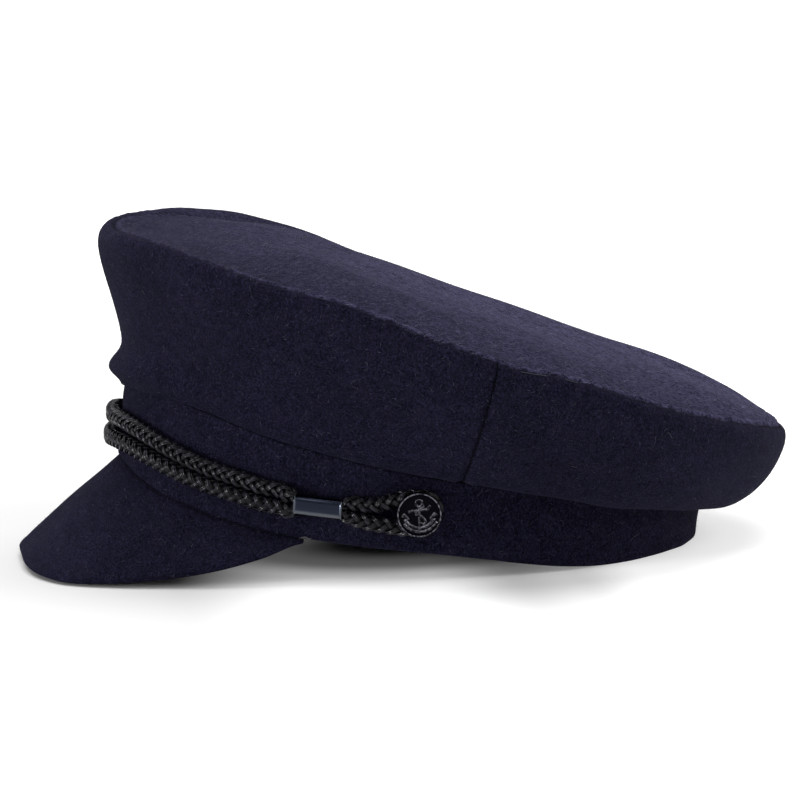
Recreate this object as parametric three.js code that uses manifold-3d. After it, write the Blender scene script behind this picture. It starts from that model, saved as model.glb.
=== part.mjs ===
// A Breton fisherman cap in millimetres: a puffed oval crown of three panels, a headband, an arched peak,
// and a two-strand trim cord with sleeves and side buttons.
// The peak points to -Y, the wearer's left is +X, and the cap rests on the plane Z = 0.
import * as THREE from "three";
import { mergeVertices } from "three/addons/utils/BufferGeometryUtils.js";
import Module from "manifold-3d";

// Driving sizes of the cap
const CAP_HEIGHT = 121;
const BAND_HALF_WIDTH = 85;
const BAND_HALF_LENGTH = 102;
const BAND_WALL = 3;
const BAND_LEAN_DEG = 8;
const CROWN_HALF_WIDTH = 118;
const CROWN_HALF_LENGTH = 123;
const CROWN_TILT_DEG = 19.6;
const CROWN_SETBACK = 16;
const CROWN_SEAM_HEIGHT = 79;
const CROWN_PUFF = 8.5;
const SIDE_SEAM_TOP_DEG = 90;
const SIDE_SEAM_LOW_DEG = 92.2;
const CLOTH = 1.8;
const PIECE_GAP = 0.3;
const FOLD_GAP = 0.6;

// Driving sizes of the peak
const PEAK_REACH = 36.5;
const PEAK_END_DEG = 64;
const PEAK_THICKNESS = 3.6;
const PEAK_TUCK = 1.4;
const PEAK_BOW = 1.2;
const PEAK_END_THINNING = 0.6;
const PEAK_THINNING_POWER = 8;
const PEAK_RIM_ROUNDING = 0.3;

// Driving sizes of the cord, sleeves and buttons
const CORD_DIAMETER = 5.2;
const SLEEVE_LENGTH = 16.8;
const SLEEVE_HEIGHT = 6.3;
const SLEEVE_DEPTH = 6;
const SLEEVE_WALL = 0.5;
const SLEEVE_CORNER = 2.1;
const SLEEVE_PLAY = 0.4;
const SLEEVE_CENTRE_DEG = 66.4;
const BUTTON_ANGLE_DEG = 84.8;
const BUTTON_HEIGHT = 24.8;
const BUTTON_DIAMETER = 15.3;
const BUTTON_THICKNESS = 2.8;
const BUTTON_RIM = 0.7;
const RIM_ABOVE_RELIEF = 0.1;
const SHANK_DIAMETER = 3;
const RELIEF_HEIGHT = 0.5;

// Sections of the crown's side and the band every 30 degrees from the front to the back.
// All lengths are shares of CAP_HEIGHT. The crown's side is a curve from the band's top to the crown seam,
// pulled out and up by a lower and an upper handle. The roll is the soft fold just above the band.
const SECTION_STEP_DEG = 30;
const SECTIONS = [
  { hem: 0.305, bandTop: 0.508, lowerOut: -0.04, lowerUp: 0.15, upperOut: 0.13, upperUp: 0.015, roll: 0.045 },
  { hem: 0.226, bandTop: 0.498, lowerOut: -0.005, lowerUp: 0.12, upperOut: 0.1, upperUp: 0.045, roll: 0.025 },
  { hem: 0.14, bandTop: 0.391, lowerOut: 0.045, lowerUp: 0.083, upperOut: 0.085, upperUp: 0.03, roll: 0.013 },
  { hem: 0.078, bandTop: 0.286, lowerOut: 0.1, lowerUp: 0, upperOut: 0.09, upperUp: 0, roll: 0.008 },
  { hem: 0.007, bandTop: 0.223, lowerOut: 0.08, lowerUp: -0.165, upperOut: 0.095, upperUp: -0.033, roll: 0 },
  { hem: 0, bandTop: 0.198, lowerOut: 0.04, lowerUp: -0.24, upperOut: 0.092, upperUp: -0.055, roll: 0 },
  { hem: 0, bandTop: 0.19, lowerOut: 0.022, lowerUp: -0.27, upperOut: 0.09, upperUp: -0.06, roll: 0 },
];

// Where the soft fold just above the band lies, by share of the side's height, and how wide it is.
const ROLL_AT = 0.1;
const ROLL_WIDE = 0.07;

// Where the crown seam rises above or sinks below its tilted plane, as shares of CAP_HEIGHT.
// Angles are positive on the left. The two sides differ a little, as on the worn cloth.
const SEAM_WAVES = [
  { atDeg: 0, wideDeg: 20, lift: -0.014 },
  { atDeg: 67, wideDeg: 11, lift: 0.02 },
  { atDeg: 95, wideDeg: 9, lift: -0.012 },
  { atDeg: 150, wideDeg: 22, lift: 0.011 },
  { atDeg: -62, wideDeg: 20, lift: 0.038 },
  { atDeg: -150, wideDeg: 16, lift: 0.024 },
];

// Where the cloth just outside the crown seam stands up as a rim, as shares of CAP_HEIGHT.
// The spread is how far the rim moves out for each millimetre that it rises.
const RIM_WAVES = [
  { atDeg: -58, wideDeg: 25, lift: 0.12 },
];
const RIM_SPREAD = 1;

// Puff of the top panel along its middle from the front to the back, as shares of CROWN_PUFF.
// It is flat at the front and fullest behind it. Towards the seam it falls off by a power of the distance.
const TOP_PUFF = [0, 0.6, 1.33, 1.13, 1, 0.93, 0.91, 1.05, 1.3];
const TOP_PUFF_POWER = 5;

// Outline of the peak by angle from the front: reach as a share of PEAK_REACH, rim height of the upper face
// as a share of CAP_HEIGHT.
const PEAK_STEP_DEG = 8;
const PEAK_OUTLINE = [
  { reach: 0.97, rim: 0.052 },
  { reach: 0.99, rim: 0.048 },
  { reach: 1.015, rim: 0.037 },
  { reach: 0.98, rim: 0.026 },
  { reach: 0.79, rim: 0.023 },
  { reach: 0.55, rim: 0.033 },
  { reach: 0.36, rim: 0.058 },
  { reach: 0.19, rim: 0.092 },
  { reach: 0.03, rim: 0.112 },
];

// Course of the cord by angle from the front: height of its middle as a share of CAP_HEIGHT, and half the
// distance between the two strands as a share of CORD_DIAMETER.
const CORD_STEP_DEG = 10;
const CORD_COURSE = [
  { middle: 0.391, spread: 0.74 },
  { middle: 0.393, spread: 0.73 },
  { middle: 0.378, spread: 0.68 },
  { middle: 0.345, spread: 0.64 },
  { middle: 0.308, spread: 0.58 },
  { middle: 0.274, spread: 0.57 },
  { middle: 0.245, spread: 0.55 },
];

// Height of the sleeve's middle and the drop from its one end to the other, as shares of CAP_HEIGHT.
const SLEEVE_MIDDLE = 0.228;
const SLEEVE_DROP = 0.016;

// Places where the strands are squeezed by the sleeve, as shares of half its length from its middle.
const SQUEEZED_PLACES = [-1.12, -0.5, 0, 0.5, 1.12];

// End of the cord behind the button: distances from the button's axis along the band and up, as shares of
// CORD_DIAMETER.
const CORD_LOOP = [
  { along: -2.9, spread: 0.62 },
  { along: -1.9, spread: 0.86 },
  { along: -1, spread: 1.05 },
  { along: 0, spread: 1.04 },
  { along: 0.76, spread: 0.72 },
];
const CORD_LOOP_END = 1.06;

// Parts of the raised anchor as shares of the button's radius, with Y up from the button's middle.
const ANCHOR_BARS = [
  { part: "shank", x0: 0, y0: -0.56, x1: 0, y1: 0.38, half: 0.07 },
  { part: "stock", x0: -0.42, y0: 0.14, x1: 0.42, y1: 0.28, half: 0.06 },
  { part: "right fluke", x0: -0.7, y0: 0.06, x1: -0.5, y1: -0.16, half: 0.06 },
  { part: "left fluke", x0: 0.7, y0: 0.06, x1: 0.5, y1: -0.16, half: 0.06 },
  { part: "upper turn of rope", x0: -0.13, y0: -0.1, x1: 0.13, y1: 0.02, half: 0.045 },
  { part: "lower turn of rope", x0: 0.02, y0: -0.34, x1: 0.22, y1: -0.2, half: 0.05 },
];
const ANCHOR_ARCS = [
  { part: "arms", centreY: 0.1, inner: 0.58, outer: 0.72, fromDeg: 200, toDeg: 340 },
  { part: "rope under the arms", centreY: 0.1, inner: 0.78, outer: 0.84, fromDeg: 225, toDeg: 315 },
];
const ANCHOR_EYE = { centreY: 0.52, inner: 0.08, outer: 0.17 };

// Steps of the faceted surfaces
const CROWN_STEPS = 40;
const CROWN_SHARES = [0, 0.05, 0.1, 0.15, 0.24, 0.38, 0.54, 0.7, 0.82, 0.9, 0.955, 1];
const TOP_STEPS = 64;
const TOP_RINGS = 6;
const TOP_MIDDLE_SHARE = 0.02;
const BAND_STEPS = 64;
const BAND_SIDE_STEPS = 3;
const PEAK_STEPS = 36;
const PEAK_DEPTH_STEPS = 6;
const COURSE_STOPS = 12;
const CORD_STEPS = 140;
const CORD_SIDES = 8;
const BUTTON_STEPS = 24;
const RELIEF_ARC_STEPS = 5;
const CORNER_TURNS_DEG = [0, 30, 60, 90];
const MERGE_DISTANCE = 1e-4;

const rad = THREE.MathUtils.degToRad;
const lerp = THREE.MathUtils.lerp;

// Evenly spaced numbers from first to last, both included.
const spaced = (first, last, steps) =>
  Array.from({ length: steps + 1 }, (_, step) => first + (last - first) * step / steps);

// An angle from the front brought into the range of half a turn to either side.
const foldAngle = (angle) => Math.atan2(Math.sin(angle), Math.cos(angle));

// A list of values at equal steps, read smoothly at a share of its length and mirrored at both ends.
function evenly(values, share) {
  const last = values.length - 1;
  const valueAt = (row) => values[row < 0 ? -row : row > last ? 2 * last - row : row];
  const place = Math.min(Math.max(share, 0), 1) * last;
  const row = Math.min(Math.floor(place), last - 1);
  const part = place - row;
  const [before, from, to, after] = [row - 1, row, row + 1, row + 2].map(valueAt);
  return from + 0.5 * part * (to - before
    + part * (2 * before - 5 * from + 4 * to - after
    + part * (3 * (from - to) + after - before)));
}

// A column of a table of equal angle steps, read at an angle from the front on either side.
const columnAt = (table, column, stepDeg, angle) => evenly(table.map((row) => row[column]),
  Math.abs(THREE.MathUtils.radToDeg(angle)) / stepDeg / (table.length - 1));

// A length of the side sections in millimetres at an angle.
const section = (column, angle) =>
  CAP_HEIGHT * columnAt(SECTIONS, column, SECTION_STEP_DEG, foldAngle(angle));

const hemHeight = (angle) => Math.max(0, section("hem", angle));

// The sum of a table's waves at an angle, in millimetres.
const waveAt = (waves, angle) => waves.reduce((sum, wave) => sum + CAP_HEIGHT * wave.lift
  * Math.exp(-((foldAngle(angle - rad(wave.atDeg)) / rad(wave.wideDeg)) ** 2)), 0);

// The level direction that points straight out of the band at an angle.
const outward = (angle) => new THREE.Vector3(
  Math.sin(angle) / BAND_HALF_WIDTH, -Math.cos(angle) / BAND_HALF_LENGTH, 0).normalize();

// A point at a height and a distance out from the band's outer face.
function onBand(angle, height, out) {
  const lean = Math.tan(rad(BAND_LEAN_DEG)) * (height - hemHeight(angle));
  return new THREE.Vector3(
    BAND_HALF_WIDTH * Math.sin(angle), lean - BAND_HALF_LENGTH * Math.cos(angle), height,
  ).addScaledVector(outward(angle), out);
}

// A point of the crown seam moved outward in the seam's plane, with a share of the seam's waves.
function onSeam(angle, out, waves = 1) {
  const tilt = rad(CROWN_TILT_DEG);
  const along = -(CROWN_HALF_LENGTH + out) * Math.cos(angle);
  return new THREE.Vector3(
    (CROWN_HALF_WIDTH + out) * Math.sin(angle),
    CROWN_SETBACK + along * Math.cos(tilt),
    CROWN_SEAM_HEIGHT - along * Math.sin(tilt) + waves * waveAt(SEAM_WAVES, angle),
  );
}

const seamNormal = new THREE.Vector3(0, Math.sin(rad(CROWN_TILT_DEG)), Math.cos(rad(CROWN_TILT_DEG)));

// A point of the crown's side: share 0 is at the band and share 1 at the crown seam.
function onCrownSide(angle, share) {
  const out = outward(angle);
  const low = onBand(angle, section("bandTop", angle) + PIECE_GAP, FOLD_GAP);
  const high = onSeam(angle, PIECE_GAP / 2);
  const lowHandle = low.clone().addScaledVector(out, section("lowerOut", angle));
  lowHandle.z += section("lowerUp", angle);
  const rim = waveAt(RIM_WAVES, angle);
  const highHandle = high.clone().addScaledVector(out, section("upperOut", angle) + rim * RIM_SPREAD);
  highHandle.z += section("upperUp", angle) + rim;
  const roll = section("roll", angle) * Math.exp(-(((share - ROLL_AT) / ROLL_WIDE) ** 2));
  return new THREE.CubicBezierCurve3(low, lowHandle, highHandle, high).getPoint(share)
    .addScaledVector(out, roll);
}

// The direction square to a surface of two parameters, by small steps.
function squareTo(surface, u, v) {
  const step = 1e-3;
  const across = surface(u + step, v).sub(surface(u - step, v));
  const up = surface(u, Math.min(1, v + step)).sub(surface(u, Math.max(0, v - step)));
  return across.cross(up).normalize();
}

// The signed volume inside a set of triangles.
function volumeOf(points, faces) {
  let sum = 0;
  for (let i = 0; i < faces.length; i += 3) {
    const [a, b, c] = [points[faces[i]], points[faces[i + 1]], points[faces[i + 2]]];
    sum += a.dot(b.clone().cross(c)) / 6;
  }
  return sum;
}

// A closed solid through rings of points: the rings join each other, or the first and last ones get caps.
function skin(rings, joined) {
  const count = rings[0].length;
  const points = rings.flat();
  const faces = [];
  const pieces = joined ? rings.length : rings.length - 1;
  for (let i = 0; i < pieces; i++) {
    for (let j = 0; j < count; j++) {
      const a = i * count + j;
      const b = i * count + (j + 1) % count;
      const c = ((i + 1) % rings.length) * count + (j + 1) % count;
      const d = ((i + 1) % rings.length) * count + j;
      faces.push(a, b, c, a, c, d);
    }
  }
  const lastRing = (rings.length - 1) * count;
  for (let j = 0; !joined && j < count / 2 - 1; j++) {
    const [a, b, c, d] = [j, j + 1, count - 2 - j, count - 1 - j];
    faces.push(a, c, b, a, d, c);
    faces.push(lastRing + a, lastRing + b, lastRing + c, lastRing + a, lastRing + c, lastRing + d);
  }
  const made = new THREE.BufferGeometry().setFromPoints(points);
  made.setIndex(volumeOf(points, faces) < 0 ? faces.reverse() : faces);
  return made;
}

// A panel of the crown's side from one slanted side seam to the other, one cloth thick.
function crownSide(middleDeg) {
  const seamHalfGap = PIECE_GAP / 2 / BAND_HALF_WIDTH;
  return skin(spaced(-1, 1, CROWN_STEPS).map((across) => {
    const angles = CROWN_SHARES.map((share) => {
      const seam = rad(lerp(SIDE_SEAM_LOW_DEG, SIDE_SEAM_TOP_DEG, share));
      const half = middleDeg === 0 ? seam : Math.PI - seam;
      return rad(middleDeg) + across * (half - seamHalfGap);
    });
    const outer = CROWN_SHARES.map((share, i) => onCrownSide(angles[i], share));
    const inner = CROWN_SHARES.map((share, i) => {
      const inward = share < 1 ? squareTo(onCrownSide, angles[i], share) : seamNormal;
      return outer[i].clone().addScaledVector(inward, -CLOTH);
    });
    return [...outer, ...inner.reverse()];
  }), false);
}

// The top panel: rings from its middle out to the seam on the upper face, and back on the lower face.
function crownTop() {
  const middle = new THREE.Vector3(0, CROWN_SETBACK, CROWN_SEAM_HEIGHT);
  const onTop = (angle, share, sunk) => {
    const along = (1 - share * Math.cos(angle)) / 2;
    const puff = CROWN_PUFF * evenly(TOP_PUFF, along) * (1 - share ** TOP_PUFF_POWER);
    return onSeam(angle, -PIECE_GAP / 2, share ** 2).sub(middle).multiplyScalar(share).add(middle)
      .addScaledVector(seamNormal, puff - sunk);
  };
  const angles = spaced(0, 2 * Math.PI, TOP_STEPS).slice(1);
  const shares = spaced(0, 1, TOP_RINGS).map((share) =>
    Math.max(TOP_MIDDLE_SHARE, Math.sin(share * Math.PI / 2)));
  const ring = (share, sunk) => angles.map((angle) => onTop(angle, share, sunk));
  return skin([
    ...shares.map((share) => ring(share, 0)),
    ...shares.reverse().map((share) => ring(share, CLOTH)),
  ], false);
}

// The band: a ring of upright sections from the hem to the top.
function headband() {
  const shares = spaced(0, 1, BAND_SIDE_STEPS);
  return skin(spaced(0, 2 * Math.PI, BAND_STEPS).slice(1).map((angle) => {
    const heights = shares.map((share) => lerp(hemHeight(angle), section("bandTop", angle), share));
    const face = (out) => heights.map((height) => onBand(angle, height, out));
    return [...face(0), ...face(-BAND_WALL).reverse()];
  }), true);
}

// A point of the peak's upper face: share 0 is tucked under the band and share 1 at the rim.
function onPeak(angle, share) {
  const reach = PEAK_REACH * columnAt(PEAK_OUTLINE, "reach", PEAK_STEP_DEG, angle);
  const rim = CAP_HEIGHT * columnAt(PEAK_OUTLINE, "rim", PEAK_STEP_DEG, angle);
  const root = hemHeight(angle) - PIECE_GAP;
  const place = onBand(angle, root, -PEAK_TUCK + (reach + PEAK_TUCK) * share);
  place.z = lerp(root, rim, share) + PEAK_BOW * Math.sin(share * Math.PI) * reach / PEAK_REACH;
  return place;
}

// The peak: sections from the band to the rounded rim and back under it, flat where they touch Z = 0.
function peak() {
  const end = rad(PEAK_END_DEG);
  const shares = spaced(0, 1, PEAK_DEPTH_STEPS);
  return skin(spaced(-end, end, PEAK_STEPS).map((angle) => {
    const upper = shares.map((share) => onPeak(angle, share));
    const down = shares.map((share) => squareTo(onPeak, angle, share));
    const thickness = PEAK_THICKNESS * (1 - PEAK_END_THINNING * (angle / end) ** PEAK_THINNING_POWER);
    const lower = upper.map((point, i) => point.clone().addScaledVector(down[i], thickness));
    const rim = upper.at(-1).clone().lerp(lower.at(-1), 0.5);
    rim.addScaledVector(outward(angle), thickness * PEAK_RIM_ROUNDING);
    const loop = [...upper, rim, ...lower.reverse()];
    loop.forEach((point) => point.setZ(Math.max(0, point.z)));
    return loop;
  }), false);
}

// The angle round the band that lies a distance from another angle along the band.
function angleAlong(fromAngle, distance) {
  const pace = Math.hypot(BAND_HALF_WIDTH * Math.cos(fromAngle), BAND_HALF_LENGTH * Math.sin(fromAngle));
  return fromAngle + distance / pace;
}

const CORD_OUT = CORD_DIAMETER / 2 + PIECE_GAP;
const SLEEVE_OUT = SLEEVE_DEPTH / 2 + 2 * PIECE_GAP;
const SLEEVE_ROOM = SLEEVE_HEIGHT / 2 - SLEEVE_WALL - SLEEVE_PLAY;
const SQUEEZED_HALF_HEIGHT = (SLEEVE_ROOM - PIECE_GAP / 2) / 2;
const SQUEEZED_HALF_DEPTH = SLEEVE_DEPTH / 2 - SLEEVE_WALL - SLEEVE_PLAY;
const SLEEVE_HALF_ANGLE = angleAlong(rad(SLEEVE_CENTRE_DEG), SLEEVE_LENGTH / 2) - rad(SLEEVE_CENTRE_DEG);

// The angle and height of a place along the sleeve, as a share of half its length from its middle.
const sleeveAngle = (place) => rad(SLEEVE_CENTRE_DEG) + place * SLEEVE_HALF_ANGLE;
const sleeveHeight = (place) => CAP_HEIGHT * (SLEEVE_MIDDLE - SLEEVE_DROP / 2 * place);

// One strand of the cord from the front to the button, as points with the half height and half depth there.
function strand(up) {
  const round = CORD_DIAMETER / 2;
  const courseEnd = rad(CORD_STEP_DEG * (CORD_COURSE.length - 1));
  const course = spaced(0, courseEnd, COURSE_STOPS).slice(0, -1).map((angle) => ({
    angle,
    height: CAP_HEIGHT * columnAt(CORD_COURSE, "middle", CORD_STEP_DEG, angle)
      + up * CORD_DIAMETER * columnAt(CORD_COURSE, "spread", CORD_STEP_DEG, angle),
    out: CORD_OUT,
    half: [round, round],
  }));
  const squeezed = SQUEEZED_PLACES.map((place) => ({
    angle: sleeveAngle(place),
    height: sleeveHeight(place) + up * (SQUEEZED_HALF_HEIGHT + PIECE_GAP / 2),
    out: SLEEVE_OUT,
    half: [SQUEEZED_HALF_HEIGHT, SQUEEZED_HALF_DEPTH],
  }));
  const loop = CORD_LOOP.map((row) => ({
    angle: angleAlong(rad(BUTTON_ANGLE_DEG), row.along * CORD_DIAMETER),
    height: BUTTON_HEIGHT + up * row.spread * CORD_DIAMETER,
    out: CORD_OUT,
    half: [round, round],
  }));
  return [...course, ...squeezed, ...loop];
}

// The cord: one closed loop of both strands, round both button shanks.
function trimCord() {
  const end = {
    angle: angleAlong(rad(BUTTON_ANGLE_DEG), CORD_LOOP_END * CORD_DIAMETER),
    height: BUTTON_HEIGHT,
    out: CORD_OUT,
    half: [CORD_DIAMETER / 2, CORD_DIAMETER / 2],
  };
  const mirror = (stop) => ({ ...stop, angle: -stop.angle });
  const upper = strand(1);
  const lower = strand(-1);
  const stops = [
    ...upper, end, ...lower.slice(1).reverse(),
    ...lower.map(mirror), mirror(end), ...upper.slice(1).map(mirror).reverse(),
  ];
  const places = stops.map((stop) => onBand(stop.angle, stop.height, stop.out));
  const course = new THREE.CatmullRomCurve3(places, true);
  const sizes = new THREE.CatmullRomCurve3(stops.map((stop) => new THREE.Vector3(...stop.half, 0)), true);
  return skin(spaced(0, 1, CORD_STEPS).slice(1).map((place) => {
    const share = course.getUtoTmapping(place);
    const centre = course.getPoint(share);
    const ahead = course.getTangent(share);
    const angle = Math.atan2(centre.x / BAND_HALF_WIDTH, -centre.y / BAND_HALF_LENGTH);
    const side = ahead.clone().cross(outward(angle)).normalize();
    const out = side.clone().cross(ahead);
    const size = sizes.getPoint(share);
    return spaced(0, 2 * Math.PI, CORD_SIDES).slice(1).map((turn) => centre.clone()
      .addScaledVector(side, size.x * Math.cos(turn)).addScaledVector(out, size.y * Math.sin(turn)));
  }), true);
}

// A frame at a point of the band: X along it, Z up across it and Y outward.
function frameAt(centre, along, out) {
  const across = along.clone().normalize();
  const up = across.clone().cross(out).normalize();
  return new THREE.Matrix4().makeBasis(across, up.clone().cross(across).normalize(), up).setPosition(centre);
}

// The left sleeve: a flattened tube with rounded corners round both squeezed strands.
function ferrule() {
  const stop = (place) => onBand(sleeveAngle(place), sleeveHeight(place), SLEEVE_OUT);
  const corners = [{ y: 1, z: 1 }, { y: -1, z: 1 }, { y: -1, z: -1 }, { y: 1, z: -1 }];
  const half = SLEEVE_LENGTH / 2;
  const rings = corners.flatMap(({ y, z }, quarter) => CORNER_TURNS_DEG.map((turn) => {
    const angle = rad(quarter * 90 + turn);
    const at = (x, radius) => new THREE.Vector3(x,
      y * (SLEEVE_DEPTH / 2 - SLEEVE_CORNER) + radius * Math.cos(angle),
      z * (SLEEVE_HEIGHT / 2 - SLEEVE_CORNER) + radius * Math.sin(angle));
    const bore = SLEEVE_CORNER - SLEEVE_WALL;
    return [at(-half, SLEEVE_CORNER), at(half, SLEEVE_CORNER), at(half, bore), at(-half, bore)];
  }));
  const centre = stop(-1).add(stop(1)).multiplyScalar(0.5).lerp(stop(0), 0.5);
  const along = stop(1).sub(stop(-1));
  return skin(rings, true).applyMatrix4(frameAt(centre, along, outward(rad(SLEEVE_CENTRE_DEG))));
}

const wasm = await Module();
wasm.setup();

// A geometry as a solid that can be joined to others.
function solidOf(geometry) {
  const bare = geometry.clone();
  bare.deleteAttribute("normal");
  bare.deleteAttribute("uv");
  const merged = mergeVertices(bare, MERGE_DISTANCE);
  return new wasm.Manifold(new wasm.Mesh({
    numProp: 3,
    vertProperties: merged.attributes.position.array,
    triVerts: new Uint32Array(merged.index.array),
  }));
}

// A joined solid as a geometry again.
function geometryOf(solid) {
  const mesh = solid.getMesh();
  return new THREE.BufferGeometry()
    .setAttribute("position", new THREE.BufferAttribute(new Float32Array(mesh.vertProperties), 3))
    .setIndex([...mesh.triVerts]);
}

// A straight bar of the anchor as a flat shape.
function barShape({ x0, y0, x1, y1, half }, radius) {
  const ahead = new THREE.Vector2(x1 - x0, y1 - y0).normalize().multiplyScalar(half);
  return new THREE.Shape([
    new THREE.Vector2(x0 + ahead.y, y0 - ahead.x), new THREE.Vector2(x1 + ahead.y, y1 - ahead.x),
    new THREE.Vector2(x1 - ahead.y, y1 + ahead.x), new THREE.Vector2(x0 - ahead.y, y0 + ahead.x),
  ].map((point) => point.multiplyScalar(radius)));
}

// A curved arm of the anchor as a flat shape.
function arcShape({ centreY, inner, outer, fromDeg, toDeg }, radius) {
  const shape = new THREE.Shape();
  shape.absarc(0, centreY * radius, outer * radius, rad(fromDeg), rad(toDeg), false);
  shape.absarc(0, centreY * radius, inner * radius, rad(toDeg), rad(fromDeg), true);
  return shape;
}

// The ring at the top of the anchor as a flat shape.
function eyeShape({ centreY, inner, outer }, radius) {
  const shape = new THREE.Shape().absarc(0, centreY * radius, outer * radius, 0, 2 * Math.PI, false);
  shape.holes.push(new THREE.Path().absarc(0, centreY * radius, inner * radius, 0, 2 * Math.PI, true));
  return shape;
}

// The raised anchor's solids, sunk a little into the button's floor so that they join it.
function anchor(radius, floor) {
  const shapes = [
    ...ANCHOR_BARS.map((bar) => barShape(bar, radius)),
    ...ANCHOR_ARCS.map((arc) => arcShape(arc, radius)),
    eyeShape(ANCHOR_EYE, radius),
  ];
  const raised = { depth: RELIEF_HEIGHT * 2, bevelEnabled: false, curveSegments: RELIEF_ARC_STEPS };
  return shapes.map((shape) =>
    solidOf(new THREE.ExtrudeGeometry(shape, raised).translate(0, 0, floor - RELIEF_HEIGHT)));
}

// The left button: a disc with a raised rim and anchor, on a shank that stops short of the band.
function button() {
  const radius = BUTTON_DIAMETER / 2;
  const back = CORD_DIAMETER + 2 * PIECE_GAP;
  const front = back + BUTTON_THICKNESS;
  const floor = front - RELIEF_HEIGHT - RIM_ABOVE_RELIEF;
  const profile = [
    [0, PIECE_GAP], [SHANK_DIAMETER / 2, PIECE_GAP], [SHANK_DIAMETER / 2, back],
    [radius - BUTTON_RIM, back], [radius, back + BUTTON_RIM],
    [radius, front - BUTTON_RIM / 2], [radius - BUTTON_RIM / 2, front], [radius - BUTTON_RIM, front],
    [radius - BUTTON_RIM * 1.5, floor], [0, floor],
  ].map(([x, y]) => new THREE.Vector2(x, y));
  const disc = new THREE.LatheGeometry(profile, BUTTON_STEPS).rotateX(Math.PI / 2);
  const whole = anchor(radius, floor).reduce((sum, piece) => sum.add(piece), solidOf(disc));
  const angle = rad(BUTTON_ANGLE_DEG);
  const out = outward(angle);
  const up = new THREE.Vector3(0, 0, 1);
  const seat = new THREE.Matrix4().makeBasis(up.clone().cross(out), up, out)
    .setPosition(onBand(angle, BUTTON_HEIGHT, 0));
  return geometryOf(whole).applyMatrix4(seat);
}

// The same piece on the other side of the cap.
function mirrored(geometry) {
  const made = geometry.clone();
  made.scale(-1, 1, 1);
  made.setIndex([...made.index.array].reverse());
  return made;
}

const wool = { color: 0x1b1c2b, roughness: 0.95, metalness: 0 };
const braid = { color: 0x121214, roughness: 0.6, metalness: 0 };
const gunmetal = { color: 0x5c626b, roughness: 0.3, metalness: 1 };
const blackGloss = { color: 0x0b0b10, roughness: 0.18, metalness: 0 };

const cap = new THREE.Group();
function add(name, geometry, look) {
  const mesh = new THREE.Mesh(geometry, new THREE.MeshStandardMaterial(look));
  mesh.name = name;
  cap.add(mesh);
}
const sleeve = ferrule();
const sideButton = button();
add("crown_top", crownTop(), wool);
add("crown_front", crownSide(0), wool);
add("crown_back", crownSide(180), wool);
add("headband", headband(), wool);
add("peak", peak(), wool);
add("trim_cord", trimCord(), braid);
add("ferrule_left", sleeve, gunmetal);
add("ferrule_right", mirrored(sleeve), gunmetal);
add("button_left", sideButton, blackGloss);
add("button_right", mirrored(sideButton), blackGloss);

// The origin is at the bottom centre of the whole cap.
const box = new THREE.Box3().setFromObject(cap);
const centre = box.getCenter(new THREE.Vector3());
cap.children.forEach((mesh) => mesh.geometry.translate(-centre.x, -centre.y, -box.min.z));

export default cap;
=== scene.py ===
"""Looks of a Breton fisherman cap: felted wool, braided trim cord, metal sleeves and glossy side buttons."""
import math

import bpy
import numpy as np
from bpy.props import FloatProperty, FloatVectorProperty, IntProperty, PointerProperty
from mathutils import Matrix, Vector


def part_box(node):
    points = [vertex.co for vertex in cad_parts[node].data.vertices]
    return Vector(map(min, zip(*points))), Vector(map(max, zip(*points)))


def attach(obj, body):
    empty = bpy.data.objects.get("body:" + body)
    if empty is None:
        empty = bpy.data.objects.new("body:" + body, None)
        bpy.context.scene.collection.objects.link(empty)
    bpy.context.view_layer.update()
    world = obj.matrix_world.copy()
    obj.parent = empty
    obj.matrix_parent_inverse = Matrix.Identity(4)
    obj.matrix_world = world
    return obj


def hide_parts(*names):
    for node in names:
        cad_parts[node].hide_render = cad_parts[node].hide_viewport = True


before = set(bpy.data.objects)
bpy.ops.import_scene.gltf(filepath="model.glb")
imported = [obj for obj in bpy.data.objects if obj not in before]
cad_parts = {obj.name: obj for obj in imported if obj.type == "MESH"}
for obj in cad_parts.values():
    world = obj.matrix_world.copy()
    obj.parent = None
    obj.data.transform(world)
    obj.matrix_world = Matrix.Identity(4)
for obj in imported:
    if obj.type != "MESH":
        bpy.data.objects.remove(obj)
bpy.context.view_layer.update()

bl_info = {
    "name": "Breton fisherman cap",
    "version": (1, 0, 0),
    "blender": (4, 5, 0),
    "location": "3D View > Sidebar > Cap",
    "description": "Makes the wool, braid, sleeves, buttons and stage of a fisherman cap",
    "category": "Add Mesh",
}

BODY = "root"
MM = 0.001
CENTIMETRE = 0.01
RNG_SEED = 7
UP = np.array((0.0, 0.0, 1.0))

# Side sections every 30 degrees from the front to the back, as shares of the cap's height
SECTIONS = {
    "hem": (0.305, 0.226, 0.14, 0.078, 0.007, 0, 0),
    "band_top": (0.508, 0.498, 0.391, 0.286, 0.223, 0.198, 0.19),
    "lower_out": (-0.04, -0.005, 0.045, 0.1, 0.08, 0.034, 0.012),
    "lower_up": (0.15, 0.12, 0.083, 0, -0.165, -0.24, -0.27),
    "upper_out": (0.13, 0.1, 0.085, 0.09, 0.095, 0.092, 0.09),
    "upper_up": (0.015, 0.045, 0.03, 0, -0.033, -0.055, -0.06),
    "roll": (0.045, 0.025, 0.013, 0.008, 0, 0, 0),
}
ROLL_AT = 0.1
ROLL_WIDE = 0.07

# Waves of the crown seam and of the rim outside it: angle and width in degrees, and lift as a share of the
# cap's height
SEAM_WAVES = ((0, 20, -0.028), (67, 11, 0.02), (93.5, 4, -0.009), (106, 13, 0.0125), (150, 22, 0.011),
              (-26, 14, -0.008), (-64, 29, 0.036), (-150, 16, 0.024))
RIM_WAVES = ((-66, 28, 0.18),)

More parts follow.
